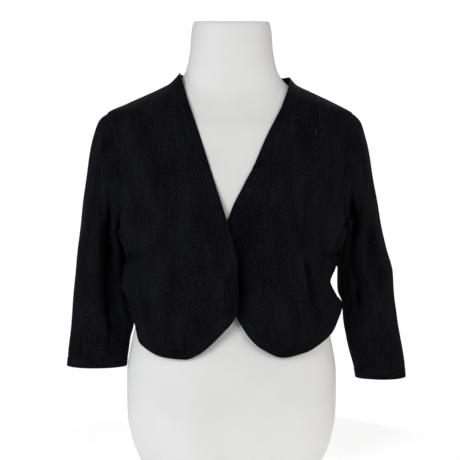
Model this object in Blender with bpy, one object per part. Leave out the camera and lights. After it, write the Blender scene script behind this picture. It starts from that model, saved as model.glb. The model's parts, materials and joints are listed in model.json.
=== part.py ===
"""Knitted shrug with three-quarter sleeves, worn by a limbless dress form.

Metres, +Z up, the front faces -Y. The origin is the centre of the form's flat underside. "Right" and "left" are
the wearer's, so the right side lies at -X. Every cloth piece is a thin wall round a middle surface. All the
middle surfaces share their seam points and their normals, so neighbours meet edge to edge with a small gap.
"""

import math

import bmesh
import bpy
import numpy as np

# Cloth and seams.
PANEL_WALL = 0.0016
BAND_WALL = 0.0020
SEAM_GAP = 0.0003
SEAM_SPARE = 0.00002
FRONT_BAND = 0.0190
HEM_BAND = 0.0150
BAND_CHANGE = (0.55, 0.75)
NECK_BAND = 0.0200
NECK_DIP = 0.0040
LAP_DEPTH = 0.0115
LAP_REACH = (0.014, 0.042)
LAP_ENDS = (0.470, 0.520)
REST_GAP = 0.0022
SLOPE_STEP = 0.0005
LEAST_SINE = 0.5

# How finely the panels are divided.
OUTLINE_CELLS = 24
ACROSS_CELLS = 9
BACK_HALF_CELLS = 8
FORM_SEGMENTS = 44

RIGHT = -1
LEFT = 1

# Horizontal sections of the worn cloth: half width on each side, depth to the front and to the back, and how
# square the front and the back are (2 is an ellipse).
CLOTH_SECTIONS = {
    "names": ("z", "half_right", "half_left", "front", "back", "square_front", "square_back"),
    "rows": (
        (0.2000, 0.1800, 0.1900, 0.1190, 0.0900, 2.15, 2.20),
        (0.2400, 0.1800, 0.1880, 0.1220, 0.0910, 2.15, 2.20),
        (0.2645, 0.1725, 0.1880, 0.1245, 0.0920, 2.15, 2.20),
        (0.2840, 0.1720, 0.1890, 0.1260, 0.0925, 2.15, 2.20),
        (0.3000, 0.1810, 0.1800, 0.1280, 0.0935, 2.15, 2.20),
        (0.3250, 0.1860, 0.1700, 0.1310, 0.0945, 2.15, 2.20),
        (0.3500, 0.1830, 0.1780, 0.1340, 0.0960, 2.15, 2.20),
        (0.3680, 0.1800, 0.1760, 0.1355, 0.0965, 2.20, 2.20),
        (0.3850, 0.1805, 0.1795, 0.1375, 0.0975, 2.25, 2.20),
        (0.4050, 0.1830, 0.1845, 0.1400, 0.0990, 2.30, 2.20),
        (0.4300, 0.1930, 0.1980, 0.1415, 0.1010, 2.30, 2.20),
        (0.4560, 0.2010, 0.2040, 0.1400, 0.1030, 2.25, 2.20),
        (0.5000, 0.2120, 0.2120, 0.1260, 0.1045, 2.15, 2.15),
        (0.5500, 0.2190, 0.2170, 0.1040, 0.1010, 2.05, 2.10),
        (0.5860, 0.2175, 0.2140, 0.0885, 0.0930, 1.95, 2.00),
        (0.6080, 0.2090, 0.2035, 0.0770, 0.0850, 1.85, 1.90),
        (0.6256, 0.1735, 0.1725, 0.0690, 0.0790, 1.85, 1.90),
        (0.6460, 0.1275, 0.1290, 0.0600, 0.0720, 1.90, 2.00),
        (0.6560, 0.1070, 0.1085, 0.0585, 0.0690, 1.95, 2.00),
        (0.6680, 0.0935, 0.0975, 0.0585, 0.0665, 2.00, 2.00),
        (0.6760, 0.0870, 0.0905, 0.0585, 0.0650, 2.00, 2.00),
    ),
}

# The free edge of each front, from the neck down, round the lower corner and along the hem to the side:
# distance out from the centre, and height. A negative distance lies past the centre.
RIGHT_OUTLINE = {
    "names": ("out", "z"),
    "rows": (
        (0.0870, 0.6760),
        (0.0725, 0.6310),
        (0.0563, 0.5856),
        (0.0330, 0.5150),
        (0.0135, 0.4558),
        (0.0000, 0.4100),
        (-0.0071, 0.3733),
        (-0.0103, 0.3240),
        (-0.0100, 0.2990),
        (-0.0035, 0.2780),
        (0.0145, 0.2560),
        (0.0326, 0.2370),
        (0.0565, 0.2180),
        (0.0775, 0.2100),
        (0.1098, 0.2115),
        (0.1335, 0.2190),
        (0.1525, 0.2315),
        (0.1600, 0.2540),
        (0.1720, 0.2840),
    ),
}
LEFT_OUTLINE = {
    "names": ("out", "z"),
    "rows": (
        (0.1010, 0.6680),
        (0.0835, 0.6217),
        (0.0578, 0.5724),
        (0.0362, 0.5244),
        (-0.0010, 0.4508),
        (-0.0090, 0.4200),
        (-0.0119, 0.3733),
        (-0.0095, 0.3240),
        (-0.0010, 0.2970),
        (0.0095, 0.2780),
        (0.0290, 0.2470),
        (0.0534, 0.2265),
        (0.0853, 0.2135),
        (0.1175, 0.2180),
        (0.1430, 0.2290),
        (0.1685, 0.2490),
        (0.1890, 0.2840),
    ),
}

# The armholes: the shoulder point above, the underarm below, and how far the seam is scooped in between.
ARMHOLES = {
    RIGHT: {"top": (0.2090, 0.6080), "under": (0.1872, 0.4170), "scoop_front": 0.0140, "scoop_back": 0.0090},
    LEFT: {"top": (0.2035, 0.6080), "under": (0.1909, 0.4170), "scoop_front": 0.0130, "scoop_back": 0.0090},
}

# Rings of each sleeve from the armhole down: its outer and inner ends as (out, z), the middle and half of its
# depth along Y, and how far round the ring has left the armhole's own line.
SLEEVE_NAMES = ("outer", "outer_z", "inner", "inner_z", "mid_y", "half_depth", "follow")
SLEEVES = {
    RIGHT: (
        (0.2090, 0.6080, 0.1872, 0.4170, 0.0000, 0.0520, 1.00),
        (0.2220, 0.5960, 0.1945, 0.4080, 0.0005, 0.0560, 0.75),
        (0.2320, 0.5700, 0.1930, 0.3990, 0.0060, 0.0595, 0.45),
        (0.2395, 0.5400, 0.1890, 0.3890, 0.0130, 0.0610, 0.25),
        (0.2465, 0.5050, 0.1860, 0.3770, 0.0200, 0.0600, 0.10),
        (0.2525, 0.4650, 0.1840, 0.3640, 0.0230, 0.0570, 0.00),
        (0.2590, 0.4200, 0.1835, 0.3470, 0.0250, 0.0530, 0.00),
        (0.2650, 0.3640, 0.1845, 0.3275, 0.0260, 0.0480, 0.00),
        (0.2690, 0.3140, 0.1820, 0.3030, 0.0240, 0.0430, 0.00),
        (0.2715, 0.2770, 0.1770, 0.2760, 0.0200, 0.0380, 0.00),
        (0.2725, 0.2500, 0.1690, 0.2500, 0.0140, 0.0340, 0.00),
        (0.2730, 0.2230, 0.1760, 0.2240, 0.0070, 0.0310, 0.00),
        (0.2740, 0.1950, 0.1800, 0.1960, 0.0000, 0.0290, 0.00),
        (0.2745, 0.1815, 0.1815, 0.1835, -0.0020, 0.0290, 0.00),
    ),
    LEFT: (
        (0.2035, 0.6080, 0.1909, 0.4170, 0.0000, 0.0520, 1.00),
        (0.2170, 0.5950, 0.1975, 0.4080, 0.0005, 0.0560, 0.75),
        (0.2260, 0.5670, 0.1955, 0.3990, 0.0060, 0.0595, 0.45),
        (0.2330, 0.5380, 0.1910, 0.3890, 0.0120, 0.0610, 0.25),
        (0.2405, 0.5020, 0.1875, 0.3770, 0.0180, 0.0600, 0.10),
        (0.2480, 0.4600, 0.1850, 0.3640, 0.0200, 0.0570, 0.00),
        (0.2555, 0.4180, 0.1835, 0.3470, 0.0220, 0.0530, 0.00),
        (0.2645, 0.3770, 0.1830, 0.3260, 0.0230, 0.0490, 0.00),
        (0.2775, 0.3340, 0.1840, 0.3060, 0.0230, 0.0450, 0.00),
        (0.2800, 0.2960, 0.1920, 0.2830, 0.0220, 0.0410, 0.00),
        (0.2850, 0.2600, 0.1935, 0.2550, 0.0160, 0.0370, 0.00),
        (0.2910, 0.2250, 0.1990, 0.2260, 0.0080, 0.0330, 0.00),
        (0.2975, 0.1765, 0.2110, 0.1760, 0.0000, 0.0300, 0.00),
        (0.2985, 0.1605, 0.2140, 0.1600, -0.0010, 0.0300, 0.00),
    ),
}
CUFF_RINGS = 1

# The largest folds of each sleeve: the place round it in degrees from the underarm over the front at the upper
# and the lower end, their heights, how far the cloth moves out (in, where negative), and the half width.
FOLD_NAMES = ("turn_top", "turn_bottom", "z_top", "z_bottom", "move", "half_turn")
SLEEVE_FOLDS = {
    RIGHT: (
        (66.0, 58.0, 0.455, 0.225, -0.0110, 13.0),
        (40.0, 38.0, 0.455, 0.262, 0.0060, 8.0),
        (17.0, 18.0, 0.440, 0.290, -0.0070, 9.0),
        (118.0, 112.0, 0.560, 0.300, -0.0035, 16.0),
        (300.0, 308.0, 0.470, 0.240, -0.0070, 15.0),
        (240.0, 236.0, 0.540, 0.330, -0.0040, 16.0),
    ),
    LEFT: (
        (70.0, 52.0, 0.470, 0.270, -0.0095, 12.0),
        (42.0, 34.0, 0.470, 0.300, 0.0040, 8.0),
        (128.0, 108.0, 0.440, 0.300, -0.0055, 12.0),
        (300.0, 304.0, 0.480, 0.260, -0.0070, 15.0),
        (236.0, 230.0, 0.530, 0.320, -0.0045, 16.0),
    ),
}

# The largest folds of the fronts, as lines seen from the front: upper and lower end as (out, z), how far the
# cloth moves forward (back, where negative), and the half width.
FRONT_FOLD_NAMES = ("out_top", "z_top", "out_bottom", "z_bottom", "move", "half_width")
FRONT_FOLDS = {
    RIGHT: (
        (0.1520, 0.3600, 0.1400, 0.2500, 0.0045, 0.0090),
        (0.1120, 0.3900, 0.1060, 0.2450, 0.0030, 0.0110),
        (0.1300, 0.3800, 0.1230, 0.2500, -0.0030, 0.0090),
    ),
    LEFT: (
        (0.1180, 0.3900, 0.1280, 0.2900, -0.0050, 0.0085),
        (0.1040, 0.3900, 0.1080, 0.2700, 0.0035, 0.0090),
    ),
}

# Horizontal sections of the dress form: half width, depth to the front and to the back, squareness.
FORM_SECTIONS = {
    "names": ("z", "half", "front", "back", "square"),
    "rows": (
        (0.0000, 0.1390, 0.0880, 0.0960, 2.20),
        (0.0060, 0.1490, 0.0970, 0.1060, 2.20),
        (0.0250, 0.1600, 0.1060, 0.1160, 2.20),
        (0.0600, 0.1720, 0.1130, 0.1240, 2.20),
        (0.1000, 0.1785, 0.1160, 0.1280, 2.20),
        (0.1350, 0.1790, 0.1160, 0.1280, 2.20),
        (0.1730, 0.1785, 0.1140, 0.1230, 2.20),
        (0.2040, 0.1740, 0.1110, 0.1130, 2.20),
        (0.2250, 0.1700, 0.1080, 0.1050, 2.20),
        (0.2450, 0.1650, 0.1050, 0.0960, 2.20),
        (0.2650, 0.1560, 0.1020, 0.0870, 2.20),
        (0.2900, 0.1450, 0.0990, 0.0810, 2.20),
        (0.3250, 0.1380, 0.1000, 0.0800, 2.20),
        (0.3600, 0.1430, 0.1090, 0.0850, 2.20),
        (0.3900, 0.1520, 0.1190, 0.0910, 2.25),
        (0.4200, 0.1620, 0.1280, 0.0960, 2.25),
        (0.4500, 0.1720, 0.1285, 0.0990, 2.20),
        (0.5000, 0.1880, 0.1205, 0.1005, 2.15),
        (0.5500, 0.2060, 0.1005, 0.0975, 2.05),
        (0.5860, 0.2110, 0.0850, 0.0895, 1.95),
        (0.6058, 0.2025, 0.0715, 0.0825, 1.85),
        (0.6233, 0.1695, 0.0610, 0.0755, 1.85),
        (0.6435, 0.1210, 0.0520, 0.0670, 1.90),
        (0.6525, 0.0985, 0.0500, 0.0640, 1.95),
        (0.6640, 0.0860, 0.0500, 0.0610, 2.00),
        (0.6780, 0.0775, 0.0510, 0.0580, 2.00),
        (0.6960, 0.0725, 0.0525, 0.0570, 2.00),
        (0.7180, 0.0690, 0.0540, 0.0570, 2.00),
        (0.7400, 0.0675, 0.0550, 0.0580, 2.00),
        (0.7560, 0.0650, 0.0540, 0.0570, 2.00),
        (0.7620, 0.0620, 0.0510, 0.0540, 2.00),
    ),
}
# The neck's open top: a rim that leans forward round a shallow recess.
RIM_WIDTH = 0.0040
RECESS_DEPTH = 0.0100
RIM_TILT = 0.090
RIM_START = 0.7180

CLOTH_COLOUR = (0.0060, 0.0062, 0.0078)
FORM_COLOUR = (0.700, 0.705, 0.700)


def spline(table, name, where):
    """Reads one column of a table, or one curve of it, by a smooth cubic through its rows."""
    keys = table["keys"]
    values = table[name]
    where = min(max(where, keys[0]), keys[-1])
    i = min(max(int(np.searchsorted(keys, where)) - 1, 0), len(keys) - 2)
    span = keys[i + 1] - keys[i]
    t = (where - keys[i]) / span
    slopes = table["slopes"][name]
    a = (1 + 2 * t) * (1 - t) ** 2 * values[i] + t * (1 - t) ** 2 * span * slopes[i]
    b = t * t * (3 - 2 * t) * values[i + 1] - t * t * (1 - t) * span * slopes[i + 1]
    return a + b


def with_slopes(names, rows, keys):
    """Prepares a table for spline: its columns, and the slope of each at each row."""
    table = {"keys": np.array(keys, float), "slopes": {}}
    for column, name in enumerate(names):
        values = np.array([row[column] for row in rows], float)
        steps = np.diff(values) / np.diff(table["keys"])
        slopes = np.empty(len(values))
        slopes[0] = steps[0]
        slopes[-1] = steps[-1]
        for i in range(1, len(values) - 1):
            before, after = steps[i - 1], steps[i]
            turning = before * after <= 0
            slopes[i] = 0.0 if turning else 2 * before * after / (before + after)
        table[name] = values
        table["slopes"][name] = slopes
    return table


def table_by_height(source):
    keys = [row[0] for row in source["rows"]]
    return with_slopes(source["names"], source["rows"], keys)


def curve_by_length(source):
    """A free curve through the rows, keyed by the length along its chords from 0 to 1."""
    points = np.array(source["rows"], float)
    lengths = np.concatenate(([0.0], np.cumsum(np.linalg.norm(np.diff(points, axis=0), axis=1))))
    return with_slopes(source["names"], source["rows"], lengths / lengths[-1])


CLOTH = table_by_height(CLOTH_SECTIONS)
FORM = table_by_height(FORM_SECTIONS)
OUTLINES = {RIGHT: curve_by_length(RIGHT_OUTLINE), LEFT: curve_by_length(LEFT_OUTLINE)}


def smooth_step(low, high, value):
    t = min(max((value - low) / (high - low), 0.0), 1.0)
    return t * t * (3 - 2 * t)


def half_width(side, z):
    return spline(CLOTH, "half_right" if side == RIGHT else "half_left", z)


def turn_at(side, out, z, square):
    """The turn round the body, in radians from the centre line, at a distance out from the centre."""
    ratio = min(abs(out) / half_width(side, z), 1.0)
    return math.copysign(math.asin(ratio ** (square / 2)), out)


def form_reach(x, y, z):
    """1 on the dress form's surface, less inside and more outside."""
    square = spline(FORM, "square", z)
    across = abs(x) / spline(FORM, "half", z)
    along = abs(y) / spline(FORM, "front" if y < 0 else "back", z)
    return (across ** square + along ** square) ** (1 / square)


def clear_of_form(point):
    """Moves a point of the cloth straight out from the body's axis until it clears the dress form."""
    x, y, z = point
    reach = form_reach(x, y, z)
    if reach < 0.2 or reach > 1.2:
        return np.array(point)
    slope = (
        (form_reach(x + SLOPE_STEP, y, z) - form_reach(x - SLOPE_STEP, y, z)) / (2 * SLOPE_STEP),
        (form_reach(x, y + SLOPE_STEP, z) - form_reach(x, y - SLOPE_STEP, z)) / (2 * SLOPE_STEP),
        (form_reach(x, y, z + SLOPE_STEP) - form_reach(x, y, z - SLOPE_STEP)) / (2 * SLOPE_STEP),
    )
    wanted = 1.0 + REST_GAP * math.hypot(*slope)
    if reach < wanted:
        x, y = x * wanted / reach, y * wanted / reach
    return np.array((x, y, z))


def front_fold(side, out, z):
    """How far the largest folds move the front at a place seen from the front."""
    total = 0.0
    for row in FRONT_FOLDS[side]:
        fold = dict(zip(FRONT_FOLD_NAMES, row))
        along = (fold["z_top"] - z) / (fold["z_top"] - fold["z_bottom"])
        if -0.2 < along < 1.2:
            middle = fold["out_top"] + (fold["out_bottom"] - fold["out_top"]) * along
            fade = smooth_step(-0.2, 0.25, along) * (1 - smooth_step(0.85, 1.2, along))
            total += fold["move"] * fade * math.exp(-(((out - middle) / fold["half_width"]) ** 2))
    return total


def front_point(side, turn, z):
    """A point of a front's middle surface, from its turn round the body and its height."""
    square = spline(CLOTH, "square_front", z)
    out = math.copysign(half_width(side, z) * abs(math.sin(turn)) ** (2 / square), turn)
    depth = spline(CLOTH, "front", z) * max(math.cos(turn), 0.0) ** (2 / square)
    depth += front_fold(side, out, z) * math.cos(turn)
    if side == LEFT:
        depth -= LAP_DEPTH * (1 - smooth_step(*LAP_REACH, out)) * (1 - smooth_step(*LAP_ENDS, z))
    return clear_of_form((side * out, -depth, z))


def back_point(side, turn, z):
    square = spline(CLOTH, "square_back", z)
    out = half_width(side, z) * math.sin(turn) ** (2 / square)
    depth = spline(CLOTH, "back", z) * max(math.cos(turn), 0.0) ** (2 / square)
    return clear_of_form((side * out, depth, z))


def armhole(side, turn, scoop):
    """The armhole's seam as (out, z), from the underarm at 0 to the shoulder point at pi."""
    hole = ARMHOLES[side]
    rise = (1 - math.cos(turn)) / 2
    out = hole["under"][0] + (hole["top"][0] - hole["under"][0]) * rise
    z = hole["under"][1] + (hole["top"][1] - hole["under"][1]) * rise
    return out - hole[scoop] * math.sin(turn) ** 2, z


def steps_with_band(length, band, cells):
    """Distances that divide a length into one band and equal cells."""
    rest = (length - band) / (cells - 1)
    return [0.0] + [band + rest * i for i in range(cells)]


def seam_heights(side, start, end, band):
    """Heights of the seam points on a line at the side of the body, its first cell being a band's width."""
    heights = np.linspace(start, end, 121)
    points = np.array([(half_width(side, z), z) for z in heights])
    lengths = np.concatenate(([0.0], np.cumsum(np.linalg.norm(np.diff(points, axis=0), axis=1))))
    return [float(np.interp(d, lengths, heights)) for d in steps_with_band(lengths[-1], band, ACROSS_CELLS)]


def outline_place(side, u):
    """A front's free edge as (turn, z)."""
    out = spline(OUTLINES[side], "out", u)
    z = spline(OUTLINES[side], "z", u)
    return np.array((turn_at(side, out, z, spline(CLOTH, "square_front", z)), z))


def inset_place(side, u, width):
    """The place a width in from a front's free edge, measured on the surface."""
    nudge = 0.004
    here = outline_place(side, u)
    before = front_point(side, *outline_place(side, max(u - nudge, 0.0)))
    after = front_point(side, *outline_place(side, min(u + nudge, 1.0)))
    along = after - before
    along /= np.linalg.norm(along)
    base = front_point(side, *here)
    by_turn = (front_point(side, here[0] + 0.01, here[1]) - base) / 0.01
    by_height = (front_point(side, here[0], here[1] + 0.002) - base) / 0.002
    normal = np.cross(by_turn, by_height)
    normal /= np.linalg.norm(normal)
    inward = np.cross(normal, along)
    jacobian = np.column_stack((by_turn, by_height))
    move = np.linalg.lstsq(jacobian, inward, rcond=None)[0]
    return here + move * width


def coons(bottom, top, left, right, i, j, columns, rows):
    """Bilinear Coons interpolation between four lists of (turn, z) places."""
    u = i / columns
    v = j / rows
    sides = (1 - v) * bottom[i] + v * top[i] + (1 - u) * left[j] + u * right[j]
    corners = (1 - u) * (1 - v) * bottom[0] + u * (1 - v) * bottom[-1] + (1 - u) * v * top[0] + u * v * top[-1]
    return sides - corners


def front_grid(side):
    """Points of a front: rows from the shoulder seam round to the side seam, columns from the free edge in."""
    start = outline_place(side, 0.0)
    end = outline_place(side, 1.0)
    hole = ARMHOLES[side]
    shoulder = seam_heights(side, start[1], hole["top"][1], FRONT_BAND)
    side_seam = seam_heights(side, end[1], hole["under"][1], HEM_BAND)
    edge = []
    seam = []
    arm = []
    for i in range(OUTLINE_CELLS + 1):
        u = i / OUTLINE_CELLS
        edge.append(outline_place(side, u))
        width = FRONT_BAND + (HEM_BAND - FRONT_BAND) * smooth_step(*BAND_CHANGE, u)
        seam.append(inset_place(side, u, width))
        out, z = armhole(side, math.pi * (1 - u), "scoop_front")
        arm.append(np.array((turn_at(side, out, z, spline(CLOTH, "square_front", z)), z)))
    quarter = math.pi / 2
    left = [np.array((quarter, z)) for z in shoulder]
    right = [np.array((quarter, z)) for z in side_seam]
    edge[0], edge[-1] = left[0], right[0]
    seam[0], seam[-1] = left[1], right[1]
    arm[0], arm[-1] = left[-1], right[-1]
    grid = []
    for i in range(OUTLINE_CELLS + 1):
        row = [front_point(side, *edge[i])]
        for j in range(ACROSS_CELLS):
            place = coons(seam, arm, left[1:], right[1:], i, j, OUTLINE_CELLS, ACROSS_CELLS - 1)
            row.append(front_point(side, *place))
        grid.append(row)
    return grid


def back_side(side):
    """Places of the back's boundary on one side, from the hem up: side seam, armhole, shoulder seam."""
    quarter = math.pi / 2
    hole = ARMHOLES[side]
    low = seam_heights(side, outline_place(side, 1.0)[1], hole["under"][1], HEM_BAND)
    high = seam_heights(side, outline_place(side, 0.0)[1], hole["top"][1], FRONT_BAND)
    places = [(quarter, z) for z in low[:-1]]
    places.append((quarter, hole["under"][1]))
    for i in range(1, OUTLINE_CELLS):
        out, z = armhole(side, math.pi * i / OUTLINE_CELLS, "scoop_back")
        places.append((turn_at(side, out, z, spline(CLOTH, "square_back", z)), z))
    places.append((quarter, hole["top"][1]))
    places += [(quarter, z) for z in reversed(high[:-1])]
    return places


def back_grid():
    """Points of the back: rows from the hem up to the neck, columns from the right side to the left."""
    bounds = {side: back_side(side) for side in (RIGHT, LEFT)}
    count = len(bounds[RIGHT])
    middles = [(bounds[RIGHT][k][1] + bounds[LEFT][k][1]) / 2 for k in range(count)]
    neck = middles[-1] - NECK_DIP
    seam = neck - NECK_BAND
    grid = []
    for k in range(count):
        share = (middles[k] - middles[0]) / (middles[-2] - middles[0])
        centre = neck if k == count - 1 else middles[k] + (seam - middles[-2]) * share ** 3
        row = []
        for side, steps in ((RIGHT, range(BACK_HALF_CELLS, 0, -1)), (LEFT, range(BACK_HALF_CELLS + 1))):
            turn, z = bounds[side][k]
            for step in steps:
                s = step / BACK_HALF_CELLS
                row.append(back_point(side, turn * s, centre + (z - centre) * s * s))
        grid.append(row)
    return grid


def sleeve_fold(side, turn, z):
    total = 0.0
    for row in SLEEVE_FOLDS[side]:
        fold = dict(zip(FOLD_NAMES, row))
        along = (fold["z_top"] - z) / (fold["z_top"] - fold["z_bottom"])
        middle = fold["turn_top"] + (fold["turn_bottom"] - fold["turn_top"]) * along
        fade = smooth_step(0.0, 0.35, along) * (1 - smooth_step(0.80, 1.05, along))
        total += fold["move"] * fade * math.exp(-(((turn - middle) / fold["half_turn"]) ** 2))
    return total


def sleeve_grid(side, loop):
    """Points of a sleeve: rings from the armhole's loop down to the cuff's edge."""
    count = len(loop)
    grid = []
    first = None
    for ring, row in enumerate(SLEEVES[side]):
        section = dict(zip(SLEEVE_NAMES, row))
        outer = np.array((side * section["outer"], section["mid_y"], section["outer_z"]))
        inner = np.array((side * section["inner"], section["mid_y"], section["inner_z"]))
        middle = (outer + inner) / 2
        reach = (inner - outer) / 2
        across = np.array((0.0, -section["half_depth"], 0.0))
        plain = []
        for column in range(count):
            turn = 2 * math.pi * column / count
            away = reach * math.cos(turn) + across * math.sin(turn)
            point = middle + away
            move = sleeve_fold(side, math.degrees(turn), point[2])
            plain.append(point + move * away / np.linalg.norm(away))
        if ring == 0:
            first = plain
        follow = section["follow"]
        grid.append([p + follow * (np.array(loop[c]) - first[c]) for c, p in enumerate(plain)])
    return grid


class Cloth:
    """The whole garment's middle surface: welded points, and for each piece its faces."""

    def __init__(self):
        self.points = []
        self.index = {}
        self.faces = {}

    def point(self, position):
        key = tuple(int(round(c * 1e6)) for c in position)
        if key not in self.index:
            self.index[key] = len(self.points)
            self.points.append(np.array(position, float))
        return self.index[key]

    def add(self, grid, name_of, flip=False, closed=False):
        """Adds a grid's cells. name_of gives the piece that a cell (row, column) belongs to."""
        ids = [[self.point(p) for p in row] for row in grid]
        columns = len(ids[0])
        for i in range(len(ids) - 1):
            for j in range(columns if closed else columns - 1):
                k = (j + 1) % columns
                face = [ids[i][j], ids[i][k], ids[i + 1][k], ids[i + 1][j]]
                if flip:
                    face.reverse()
                self.faces.setdefault(name_of(i, j), []).append(face)

    def normals(self):
        """Each point's direction: the mean of the directions that its pieces have there."""
        total = np.zeros((len(self.points), 3))
        p = self.points
        for faces in self.faces.values():
            own = {}
            for a, b, c, d in faces:
                normal = np.cross(p[c] - p[a], p[d] - p[b])
                for corner in (a, b, c, d):
                    own[corner] = own.get(corner, 0.0) + normal
            for corner, normal in own.items():
                total[corner] += normal / np.linalg.norm(normal)
        return total / np.linalg.norm(total, axis=1)[:, None]


def trimmed(cloth, normals, faces):
    """Each used point, moved in from the piece's own edges by half the seam's gap."""
    points = cloth.points
    edges = {}
    for face in faces:
        own = np.cross(points[face[2]] - points[face[0]], points[face[3]] - points[face[1]])
        for a, b in zip(face, face[1:] + face[:1]):
            edges[(a, b)] = own
    rim = [edge for edge in edges if (edge[1], edge[0]) not in edges]
    inward = {}
    for a, b in rim:
        along = points[b] - points[a]
        along /= np.linalg.norm(along)
        for corner in (a, b):
            move = np.cross(normals[corner], along)
            if np.linalg.norm(move) < LEAST_SINE:
                move = np.cross(edges[(a, b)], along)
            inward.setdefault(corner, []).append(move / np.linalg.norm(move))
    places = {}
    for face in faces:
        for corner in face:
            place = points[corner]
            moves = inward.get(corner)
            if moves:
                total = sum(moves)
                share = max(float(total @ moves[0]), 0.5)
                place = place + total / share * (SEAM_GAP / 2 + SEAM_SPARE)
            places[corner] = place
    return places, rim


def cloth_piece(cloth, normals, name, wall, colour_slot, collection):
    """One sewn piece: a closed wall round its part of the middle surface."""
    faces = cloth.faces[name]
    places, rim = trimmed(cloth, normals, faces)
    order = {corner: i for i, corner in enumerate(places)}
    count = len(order)
    outer = [places[c] + normals[c] * wall / 2 for c in places]
    inner = [places[c] - normals[c] * wall / 2 for c in places]
    quads = [[order[c] for c in face] for face in faces]
    shell = list(quads)
    shell += [[count + c for c in reversed(face)] for face in quads]
    shell += [[order[b], order[a], count + order[a], count + order[b]] for a, b in rim]
    mesh = bpy.data.meshes.new(name)
    mesh.from_pydata([tuple(p) for p in outer + inner], [], shell)
    finish(mesh, name, colour_slot, collection)


def finish(mesh, name, material, collection):
    bm = bmesh.new()
    bm.from_mesh(mesh)
    bmesh.ops.triangulate(bm, faces=bm.faces, quad_method="SHORT_EDGE")
    bm.to_mesh(mesh)
    bm.free()
    mesh.shade_smooth()
    mesh.set_sharp_from_angle(angle=math.radians(50))
    mesh.materials.append(material)
    collection.objects.link(bpy.data.objects.new(name, mesh))


def principled(name, colour, roughness):
    material = bpy.data.materials.new(name)
    material.use_nodes = True
    shader = material.node_tree.nodes["Principled BSDF"]
    shader.inputs["Base Color"].default_value = (*colour, 1.0)
    shader.inputs["Roughness"].default_value = roughness
    shader.inputs["Metallic"].default_value = 0.0
    return material


def form_ring(z, inset=0.0, drop=0.0):
    """One horizontal ring of the form. Towards the neck's top the ring leans down at the front."""
    half = spline(FORM, "half", z) - inset
    square = spline(FORM, "square", z)
    lean = RIM_TILT * smooth_step(RIM_START, FORM_SECTIONS["rows"][-1][0], z)
    ring = []
    for step in range(FORM_SEGMENTS):
        turn = 2 * math.pi * step / FORM_SEGMENTS
        deep = spline(FORM, "front" if math.cos(turn) > 0 else "back", z) - inset
        x = half * math.copysign(abs(math.sin(turn)) ** (2 / square), math.sin(turn))
        y = -deep * math.copysign(abs(math.cos(turn)) ** (2 / square), math.cos(turn))
        ring.append((x, y, z - drop + lean * y))
    return ring


def dress_form(material, collection):
    """The limbless form: rings from the flat underside to the neck's rim, and the shallow recess in it."""
    heights = [row[0] for row in FORM_SECTIONS["rows"]]
    rings = [form_ring(z) for z in heights]
    top = heights[-1]
    rings.append(form_ring(top, inset=RIM_WIDTH))
    rings.append(form_ring(top, inset=RIM_WIDTH, drop=RECESS_DEPTH))
    points = [p for ring in rings for p in ring]
    faces = []
    for i in range(len(rings) - 1):
        for j in range(FORM_SEGMENTS):
            k = (j + 1) % FORM_SEGMENTS
            a = i * FORM_SEGMENTS
            b = a + FORM_SEGMENTS
            faces.append((a + j, a + k, b + k, b + j))
    faces.append(tuple(reversed(range(FORM_SEGMENTS))))
    faces.append(tuple(range(len(points) - FORM_SEGMENTS, len(points))))
    mesh = bpy.data.meshes.new("dress_form")
    mesh.from_pydata(points, [], faces)
    finish(mesh, "dress_form", material, collection)


def garment():
    """The whole middle surface, with each cell given to its sewn piece."""
    cloth = Cloth()
    names = {RIGHT: "right", LEFT: "left"}
    back = back_grid()
    seam_row = ACROSS_CELLS
    top_row = ACROSS_CELLS + OUTLINE_CELLS
    for side in (RIGHT, LEFT):
        word = names[side]
        front = front_grid(side)

        def front_name(i, j, word=word):
            return f"front_band_{word}" if j == 0 else f"front_{word}"

        def sleeve_name(i, j, word=word, last=len(SLEEVES[side]) - 1 - CUFF_RINGS):
            return f"cuff_{word}" if i >= last else f"sleeve_{word}"

        cloth.add(front, front_name, flip=side == LEFT)
        column = 0 if side == RIGHT else -1
        front_arm = [front[i][-1] for i in range(OUTLINE_CELLS, -1, -1)]
        back_arm = [back[k][column] for k in range(top_row - 1, seam_row, -1)]
        cloth.add(sleeve_grid(side, front_arm + back_arm), sleeve_name, flip=side == LEFT, closed=True)

    def back_name(i, j):
        if i == 0:
            return "hem_band_back"
        return "neck_band_back" if i == len(back) - 2 else "back"

    cloth.add(back, back_name, flip=True)
    return cloth


def main():
    for item in list(bpy.data.objects):
        bpy.data.objects.remove(item, do_unlink=True)
    collection = bpy.data.collections.new("knitted_shrug_on_dress_form")
    bpy.context.scene.collection.children.link(collection)
    cloth = garment()
    normals = cloth.normals()
    for name in sorted(cloth.faces):
        wall = PANEL_WALL if name in ("front_right", "front_left", "back") or "sleeve" in name else BAND_WALL
        cloth_piece(cloth, normals, name, wall, principled(name + "_knit", CLOTH_COLOUR, 0.85), collection)
    dress_form(principled("form_shell", FORM_COLOUR, 0.55), collection)


main()
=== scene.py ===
"""The looks of a knitted shrug on a limbless dress form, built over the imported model.

Metres, +Z up, the front faces -Y. "Right" and "left" are the wearer's, so the right side lies at -X.
"""

import json
import math
import random

import bpy
import numpy as np
from bpy.props import FloatProperty, FloatVectorProperty, PointerProperty
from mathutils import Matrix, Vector
from mathutils.bvhtree import BVHTree
from mathutils.kdtree import KDTree

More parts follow.
